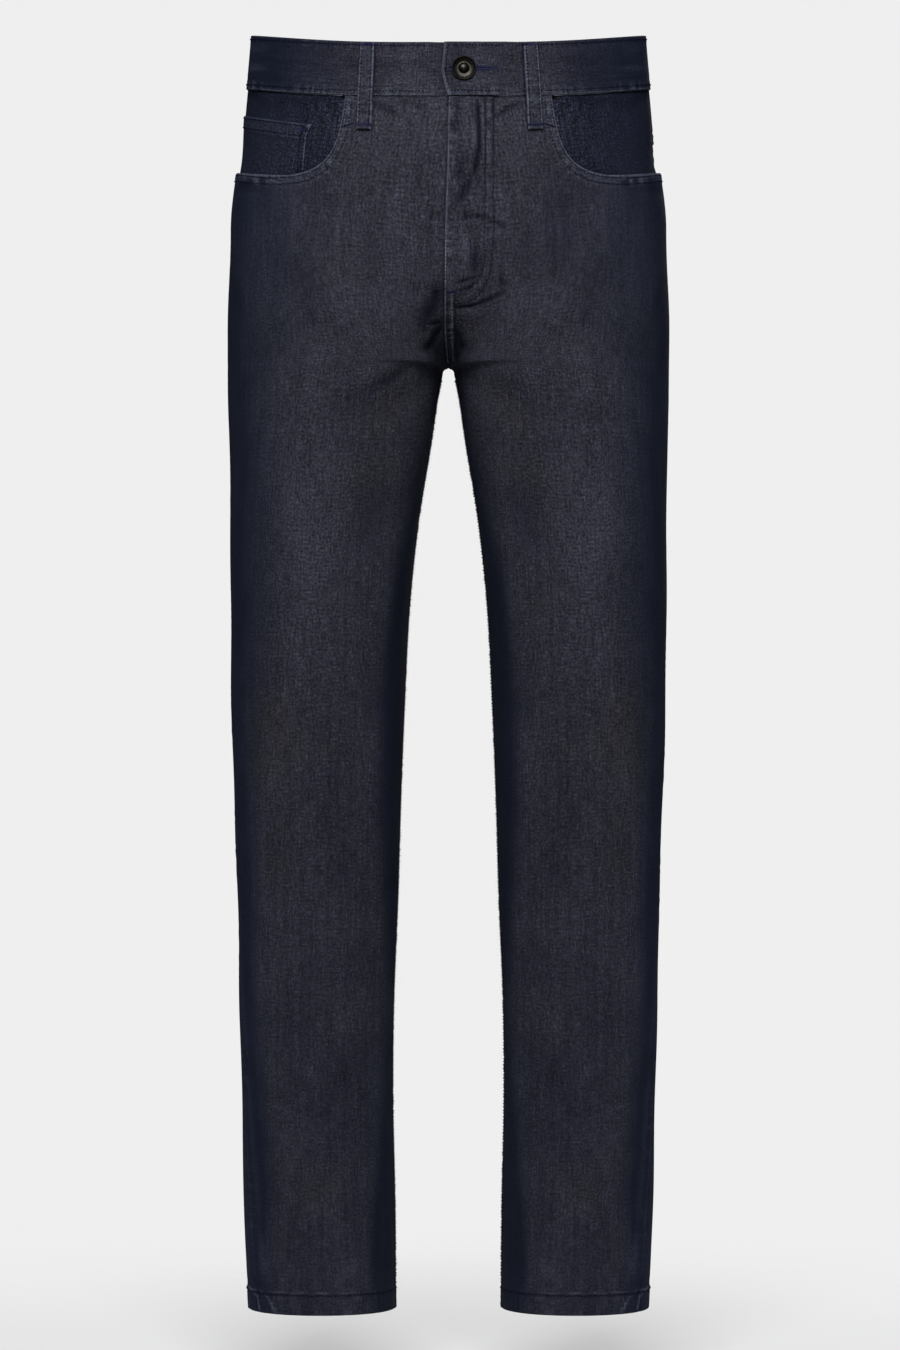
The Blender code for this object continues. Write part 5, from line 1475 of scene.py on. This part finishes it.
# ---------------------------------------------------------------------------------------
# Sewing: navy core-spun thread in lockstitch rows about 2.7 mm a stitch, dense bar tacks
# where the cloth is pulled, and pale worn thread along the crotch seam.
STITCH, STITCH_LENGTH, THREAD, THREAD_LIFT = 0.0027, 0.0018, 0.00064, 0.00042
STITCH_WAVER, TACK_PITCH, TACK_THREAD = 0.18, 0.00042, 0.00034
MOUTH_ROWS, SEAM_ROWS, FELL_ROWS = (0.0017, 0.0068), (0.0018, 0.0072), (0.0018, 0.0070)
POCKET_ROWS, POCKET_HEM_ROWS = (0.0018, 0.0080), (0.0190, 0.0225)
COIN_TOP_ROWS, COIN_SIDE_ROWS, LOOP_ROWS = (0.0018, 0.0098), (0.0014, 0.0052), (-0.36, 0.36)
HEM_ROW = LENGTH - 0.0166
SIDEWAYS = np.array((1.0, 0.0, 0.0))


def make_thread(name, dark, light):
    """Twisted sewing thread: fine slanting bands of light and dark."""
    made, shader, shade = new_material(name)
    place = shade.node("ShaderNodeTexCoord", (), (), 3)
    twist = speckle(shade, place, 2600.0, 1.0)
    worn = speckle(shade, place, 160.0, 2.0).between(0.42, 0.66)
    color = worn.blend((*dark, 1.0), (*light, 1.0))
    normal = shade.node("ShaderNodeBump", (), {"Strength": 0.4, "Distance": 0.0001,
                                               "Height": twist})
    feed(shader, Base_Color=(0.65 + 0.7 * twist).times(color), Roughness=0.62 + 0.2 * twist,
         Normal=normal, Specular_IOR_Level=0.08)
    return made


navy_thread = make_thread("navy_thread", (0.0030, 0.0030, 0.0140), (0.0080, 0.0076, 0.0290))
tack_thread = make_thread("tack_thread", (0.0060, 0.0058, 0.0290), (0.0260, 0.0250, 0.0720))
pale_thread = make_thread("pale_thread", (0.110, 0.120, 0.170), (0.300, 0.320, 0.380))
violet_thread = make_thread("violet_thread", (0.018, 0.018, 0.060), (0.035, 0.034, 0.095))

# One stitch: rings of four points round a short thread, closed to a point at each end
RING_AT, RING_SIZE = np.array((-0.62, 0.0, 0.62)), np.array((0.86, 1.0, 0.86))
TURN = np.arange(4) * np.pi / 2 + np.pi / 4


def thread_mesh(name, centre, along, out, length, radius, material):
    """Many stitches in one mesh: each a short thread that dips into the cloth at its ends."""
    across = np.cross(along, out)
    count = len(centre)
    length, radius = np.broadcast_to(length, count), np.broadcast_to(radius, count)

    def point(at, wide, high):
        """One point of every stitch, by its shares of the length and the thickness."""
        return (centre + along * (at * length / 2)[:, None] + across * (wide * radius)[:, None]
                + out * (high * radius)[:, None])

    rings = [point(at, size * np.cos(a), size * np.sin(a) * 0.8 - 0.5 * at * at)
             for at, size in zip(RING_AT, RING_SIZE) for a in TURN]
    tips = [point(-1.0, 0.0, -1.1), point(1.0, 0.0, -1.1)]
    points = np.stack(rings + tips, axis=1).reshape(-1, 3)
    turn = np.arange(4)
    ahead = (turn + 1) % 4
    quads = np.concatenate([np.stack((k * 4 + turn, k * 4 + ahead, k * 4 + 4 + ahead,
                                      k * 4 + 4 + turn), 1) for k in (0, 1)])
    ends = np.concatenate((np.stack((ahead, turn, np.full(4, 12)), 1),
                           np.stack((8 + turn, 8 + ahead, np.full(4, 13)), 1)))
    base = (np.arange(count) * 14)[:, None, None]
    quads = (quads[None] + base).reshape(-1, 4)[:, ::-1]
    ends = (ends[None] + base).reshape(-1, 3)[:, ::-1]
    piece = new_piece(name, points, [quads, ends], material)
    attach(piece, "root")


def row_of_stitches(side, around, down, lift_of, pitch=STITCH):
    """Middles, directions and ways out of the stitches along a line on the cloth, whose
    spacing wavers a little."""
    around, down = np.broadcast_arrays(around, down)
    share = np.linspace(0.0, 1.0, len(around))
    fine = np.linspace(0.0, 1.0, max(len(around) * 12, 200))
    around, down = np.interp(fine, share, around), np.interp(fine, share, down)
    point = place_on(side, around, down, lift_of(around, down))[0]
    run = np.concatenate(([0.0], np.cumsum(np.linalg.norm(np.diff(point, axis=0), axis=1))))
    count = max(int(run[-1] / pitch), 1)
    waver = STITCH_WAVER * np.sin(np.arange(count) * 2.399 + 3.0 * around[0])
    middles = (np.arange(count) + 0.5 + waver * 0.5) * (run[-1] / count)

    def thread_at(at):
        """Points and ways out where the thread has run this far."""
        a, d = np.interp(at, run, around), np.interp(at, run, down)
        return place_on(side, a, d, lift_of(a, d) + THREAD_LIFT)[:2]

    centre, out = thread_at(middles)
    along = thread_at(middles + 0.0004)[0] - centre
    size = np.linalg.norm(along, axis=1, keepdims=True)
    along = np.where(size > 1e-7, along / np.maximum(size, 1e-7), np.cross(out, SIDEWAYS))
    return centre, unit(along - out * np.sum(along * out, axis=1, keepdims=True)), out


def sew(name, rows, material, length=STITCH_LENGTH, radius=THREAD):
    """One mesh from several rows of stitches."""
    centre, along, out = (np.concatenate([row[k] for row in rows]) for k in range(3))
    return thread_mesh(name, centre, along, out, length, radius, material)


def offset_line(path, metres):
    """A line on the cloth moved sideways, over 0 to its right as one follows it."""
    scale = stretch(path[:, 0], path[:, 1])
    flat = np.stack((path[:, 0] * np.median(scale), path[:, 1]), axis=1)
    run = unit(np.gradient(flat, axis=0))
    return path[:, 0] - run[:, 1] * metres / scale, path[:, 1] + run[:, 0] * metres


for side, name in SIDE_NAMES.items():
    on_front, on_back = partial(front_lift, side), partial(back_lift, side)
    rows = [row_of_stitches(side, *offset_line(MOUTH[2:], metres), on_front)
            for metres in MOUTH_ROWS]
    if side == LEFT:
        rows += [row_of_stitches(side, *np.transpose(path), on_front) for path in (J_OUTER, J_INNER)]
    down = np.linspace(0.300, 1.036, 200)
    rows += [row_of_stitches(side, metres / stretch(0.0, down), down, on_front)
             for metres in SEAM_ROWS]
    around = np.linspace(0.004, outseam(HEM_ROW) - 0.004, 80)
    rows.append(row_of_stitches(side, around, HEM_ROW, on_front))
    sew(f"front_stitches_{name}", rows, navy_thread)

    around = np.linspace(outseam(HEM_ROW) + 0.004, 0.996, 80)
    rows = [row_of_stitches(side, around, HEM_ROW, on_back)]
    around = np.linspace(0.506, 0.994, 80)
    rows += [row_of_stitches(side, around, yoke_seam(around) + metres, on_back)
             for metres in FELL_ROWS]
    if side == LEFT:
        on_seat, on_yoke = np.linspace(0.122, 0.268, 60), np.linspace(0.047, 0.114, 30)
        for metres in FELL_ROWS:
            for down, lift_of in ((on_seat, on_back), (on_yoke, partial(centre_back, LEFT))):
                around = 1 - metres / stretch(1.0, down)
                rows.append(row_of_stitches(side, around, down, lift_of))
    sew(f"back_stitches_{name}", rows, navy_thread)

    rows = []
    for metres in POCKET_ROWS:
        side_in, low_in = 0.5 - metres / POCKET_TOP_WIDTH, 1 - metres / POCKET_SIDE_HEIGHT
        corners = ((-side_in, 0.012), (-side_in, low_in), (0.0, low_in), (side_in, low_in),
                   (side_in, 0.012))
        for (a0, s0), (a1, s1) in zip(corners[:-1], corners[1:]):
            place = pocket_place(np.linspace(a0, a1, 24), np.linspace(s0, s1, 24))
            rows.append(row_of_stitches(side, *place, on_pocket))
    for metres in POCKET_HEM_ROWS:
        share = metres / (POCKET_SIDE_HEIGHT + POCKET_POINT / 2)
        place = pocket_place(np.linspace(-0.43, 0.43, 30), share)
        rows.append(row_of_stitches(side, *place, on_pocket))
    sew(f"back_pocket_stitches_{name}", rows, navy_thread)


def on_overlap(around, down):
    """The band's outer face on the overlap."""
    return band_lift(around, down) + LAP_SHIFT


# the band's two rows along its ring and its overlap, and one across the overlap's end
rows = []
for low in (TOP_ROW, LOW_ROW):
    rows.append(row_of_stitches(LEFT, np.linspace(ring_start, ring_end, 300), low, band_lift))
    places = np.linspace(UNDERLAP_END + LAP_CLEAR, lap_edge_x(low) + END_ROW, 20)
    rows.append(row_of_stitches(LEFT, around_at(places, low), low, on_overlap))
down = np.linspace(0.0035, BAND_HEIGHT - 0.0040, 16)
rows.append(row_of_stitches(LEFT, around_at(lap_edge_x(down) + END_ROW, down), down, on_overlap))
sew("waistband_stitches", rows, navy_thread)

# the coin pocket's hem and side rows
around = np.linspace(COIN_START + 0.006, COIN_END - 0.004, 40)
rows = [row_of_stitches(RIGHT, around, coin_top(around) + metres, on_coin)
        for metres in COIN_TOP_ROWS]
around, down = coin_edge(np.linspace(0.04, 0.80, 30))
rows += [row_of_stitches(RIGHT, around + metres / stretch(around, down), down, on_coin)
         for metres in COIN_SIDE_ROWS]
sew("coin_pocket_stitches", rows, navy_thread)

# pale worn thread down the fly edge and the crotch seam
rows = []
for down, metres, pitch in ((np.linspace(0.120, 0.270, 60), 0.0006, 0.0029),
                            (np.linspace(0.192, 0.268, 40), 0.0062, 0.0034)):
    around = around_at(fly_edge_x(down) + metres, down)
    rows.append(row_of_stitches(LEFT, around, down, partial(front_lift, LEFT), pitch))
sew("crotch_stitches", rows, pale_thread, 0.0020, 0.00052)


def bar_tack(side, around, down, half_along, half_across, lift, turn=0.0, lift_of=None):
    """A dense bar: short threads laid side by side across a line. It stands off the form, or
    off the face that lift_of gives, by lift."""
    scale = stretch(around, down)
    count = int(2 * half_along / TACK_PITCH)
    at = np.linspace(-half_along, half_along, count)
    a, d = around + at * np.cos(turn) / scale, down + at * np.sin(turn)
    if lift_of:
        lift = lift_of(a, d) + lift
    centre, out, _ = place_on(side, a, d, lift)
    end = place_on(side, a - 0.001 * np.sin(turn) / scale, d + 0.001 * np.cos(turn), lift)[0]
    along = unit(end - centre)
    along = along + 0.22 * ((np.arange(count) % 2) * 2 - 1)[:, None] * np.cross(along, out)
    return centre, unit(along), out, np.full(count, 2 * half_across)


tacks = []
for tops in LOOPS.values():
    for share in (0.035, 0.955):
        around, down, lift = loop_place(tops, 0.0, share)
        tacks.append(bar_tack(LEFT, around, down, 0.0060, 0.0017, lift + 0.0002))
for side in (LEFT, RIGHT):
    tacks.append(bar_tack(side, 0.2170, 0.0672, 0.0052, 0.0010, 0.0004, 0.35,
                          partial(front_lift, side)))
    for across in (-0.47, 0.47):
        tacks.append(bar_tack(side, *pocket_place(across, 0.03), 0.0050, 0.0012,
                              POCKET_GAP + POCKET_CLOTH + 0.0008, np.pi / 2))
tacks.append(bar_tack(RIGHT, COIN_START + 0.006, COIN_TOP + 0.0045, 0.0040, 0.0022, 0.0003, 0.0,
                      on_coin))
tacks.append(bar_tack(LEFT, 0.0078, 0.1856, 0.0038, 0.0011, 0.0004, 0.0, partial(front_lift, LEFT)))
centre, along, out, length = (np.concatenate([tack[k] for tack in tacks]) for k in range(4))
thread_mesh("bar_tacks", centre, along, out, length, TACK_THREAD, tack_thread)

# the loops' two rows each
rows = []
for tops in LOOPS.values():
    for across in LOOP_ROWS:
        around, down, lift = loop_place(tops, across, np.linspace(0.05, 0.94, 40))
        rows.append(row_of_stitches(LEFT, around, down, lambda a, d: np.interp(d, down, lift)))
sew("belt_loop_stitches", rows, navy_thread)

# the buttonhole: close threads across both lips of the slit, and a few along its end
LIP_THREADS, END_THREADS, HOLE_THREAD = 86, 9, 0.00030
at = np.linspace(BUTTONHOLE_FROM + 0.0012, BUTTONHOLE_TO + 0.001, LIP_THREADS)
closed = 1 - 0.62 * ease(at, 0.018, BUTTONHOLE_TO)
around = around_at(at, BUTTON_DOWN)
rows = []
for lip in (-1.0, 1.0):
    down = BUTTON_DOWN + lip * 0.00150 * closed
    centre, out, _ = place_on(LEFT, around, down, on_overlap(around, down) + HOLE_THREAD)
    rows.append((centre, unit(np.cross(out, SIDEWAYS)), out))
down = BUTTON_DOWN + np.linspace(-0.0010, 0.0010, END_THREADS)
around = around_at(BUTTONHOLE_TO + 0.0012, down)
centre, out, _ = place_on(LEFT, around, down, on_overlap(around, down) + HOLE_THREAD)
rows.append((centre, np.tile(SIDEWAYS, (END_THREADS, 1)), out))
long = np.concatenate((np.tile(0.0028 * closed, 2), np.full(END_THREADS, 0.0020)))
sew("buttonhole_thread", rows, violet_thread, long, HOLE_THREAD)

# ---------------------------------------------------------------------------------------
# The button: a black-nickel cap with a rolled rim, a dished ring and a raised dome, on a
# shank through the buttonhole, fixed by a tack from behind.
SHANK_RADIUS, NAIL_RADIUS, TACK_RADIUS, CLEARANCE = 0.0034, 0.0012, 0.0045, 0.0004
TACK_HEIGHT = 0.0012


def make_nickel(name, dark, light):
    """Dark plated metal, brushed in rings, dull in its hollows and bright where it is worn."""
    made, shader, shade = new_material(name)
    place = shade.node("ShaderNodeTexCoord", (), (), 3)
    mottle = speckle(shade, place, 900.0, 3.0)
    scratch = speckle(shade, place, 5200.0, 2.0)
    color = mottle.between(0.35, 0.7).blend((*dark, 1.0), (*light, 1.0))
    normal = shade.node("ShaderNodeBump", (), {"Strength": 0.25, "Distance": 0.00008,
                                               "Height": scratch + 0.6 * mottle})
    feed(shader, Base_Color=color, Metallic=0.92 + 0.08 * mottle,
         Roughness=0.22 + 0.20 * mottle, Normal=normal)
    return made


nickel = make_nickel("black_nickel", (0.0080, 0.0076, 0.0066), (0.0270, 0.0255, 0.0220))


def turned(name, profile, middle, out, segments, material):
    """A closed round piece: a profile of (radius, height) points turned about the way out."""
    radius, height = np.array(profile).T
    side_way = unit(np.cross((0.0, 0.0, 1.0), out))
    up_way = np.cross(out, side_way)
    angle = np.arange(segments) * 2 * np.pi / segments
    spoke = np.cos(angle)[:, None] * side_way + np.sin(angle)[:, None] * up_way
    rings = (middle + height[1:-1, None, None] * out
             + radius[1:-1, None, None] * spoke[None, :, :]).reshape(-1, 3)
    tips = np.stack((middle + height[0] * out, middle + height[-1] * out))
    turn = np.arange(segments)
    ahead = (turn + 1) % segments
    count = len(radius) - 2
    quads = np.concatenate([np.stack((k * segments + turn, k * segments + ahead,
                                      (k + 1) * segments + ahead, (k + 1) * segments + turn), 1)
                            for k in range(count - 1)])
    first, last = count * segments, count * segments + 1
    low = np.stack((ahead, turn, np.full(segments, first)), 1)
    high = np.stack(((count - 1) * segments + turn, (count - 1) * segments + ahead,
                     np.full(segments, last)), 1)
    return new_piece(name, np.concatenate((rings, tips)), [quads, low, high], material)


seat_around = around_at(np.array([BUTTON_X]), np.array([BUTTON_DOWN]))
seat, seat_out, _ = place_on(LEFT, seat_around, np.array([BUTTON_DOWN]),
                             BAND_PROUD - BAND_CLOTH / 2)
seat, seat_out = seat[0], seat_out[0]
over = BAND_CLOTH / 2 + LAP_SHIFT + CLEARANCE
under = BAND_CLOTH / 2 - LAP_SHIFT + CLEARANCE
turn = np.linspace(0.0, np.pi, 14)
rim = [(BUTTON_RADIUS * (0.935 + 0.065 * np.cos(a)), over + 0.0016 + 0.0008 * np.sin(a))
       for a in turn]
dish = [(BUTTON_RADIUS * s, over + h) for s, h in
        ((0.82, 0.00130), (0.74, 0.00108), (0.64, 0.00084), (0.54, 0.00066), (0.46, 0.00060),
         (0.42, 0.00072))]
dome = [(BUTTON_RADIUS * 0.40 * np.cos(a), over + 0.0009 + 0.0015 * np.sin(a))
        for a in np.linspace(0.0, np.pi / 2, 12)[:-1]]
cap = [(0.0, under), (SHANK_RADIUS, under), (SHANK_RADIUS, over),
       (BUTTON_RADIUS * 0.84, over), (BUTTON_RADIUS * 0.95, over + 0.0003),
       (BUTTON_RADIUS * 0.99, over + 0.0008)] + rim + dish + dome + [(0.0, over + 0.0024)]
button = turned("button_cap", cap, seat, seat_out, 72, nickel)
stand_for(button, "button")

tack_profile = [(0.0, over - 0.0010), (NAIL_RADIUS, over - 0.0012), (NAIL_RADIUS, -over),
                (TACK_RADIUS * 0.96, -over), (TACK_RADIUS, -over - 0.0003),
                (TACK_RADIUS * 0.97, -over - 0.0007), (TACK_RADIUS * 0.80, -over - 0.0010),
                (TACK_RADIUS * 0.62, -over - 0.0009), (TACK_RADIUS * 0.45, -over - 0.0008),
                (TACK_RADIUS * 0.30, -over - TACK_HEIGHT), (0.0, -over - TACK_HEIGHT)]
tack = turned("button_tack_head", tack_profile, seat, seat_out, 48, nickel)
stand_for(tack, "button_tack")

# ---------------------------------------------------------------------------------------
# The zip: two woven tapes behind the fly with a closed metal chain down their middle.
ZIP_LENGTH, ZIP_HALF_WIDTH, ZIP_TAPE, ZIP_X = 0.108, 0.014, 0.0010, 0.003
TEETH, TOOTH_LENGTH, TOOTH_RADIUS, TOOTH_STEP = 52, 0.0042, 0.00085, 0.0008

zip_denim = make_denim("zip_tape_weave", deep=(0.0090, 0.0100, 0.0150),
                       faded=(0.0140, 0.0150, 0.0210), worn=(0.05, 0.05, 0.06), weft_share=1.0)
rows = np.linspace(BAND_HEIGHT + ZIP_LENGTH * 0.03, BAND_HEIGHT + ZIP_LENGTH, 60)
places = np.linspace(-ZIP_HALF_WIDTH, ZIP_HALF_WIDTH, 26) + ZIP_X
around = around_at(places, rows[:, None])
down = np.broadcast_to(rows[:, None], around.shape)
back = -(CLOTH + FLY_SHIFT + LIE_GAP)
tape = cloth_piece("zip_tape", LEFT, around, down, back, ZIP_TAPE, zip_denim, 0.0, 0.0)
stand_for(tape, "fly_zip")

down = np.linspace(rows[1] + 0.001, rows[-1] - 0.001, TEETH)
around = around_at(ZIP_X + TOOTH_STEP * ((np.arange(TEETH) % 2) * 2 - 1), down)
centre, out, _ = place_on(LEFT, around, down, back - ZIP_TAPE - 0.0003)
thread_mesh("zip_teeth", centre, np.tile(SIDEWAYS, (TEETH, 1)), -out, TOOTH_LENGTH, TOOTH_RADIUS,
            nickel)
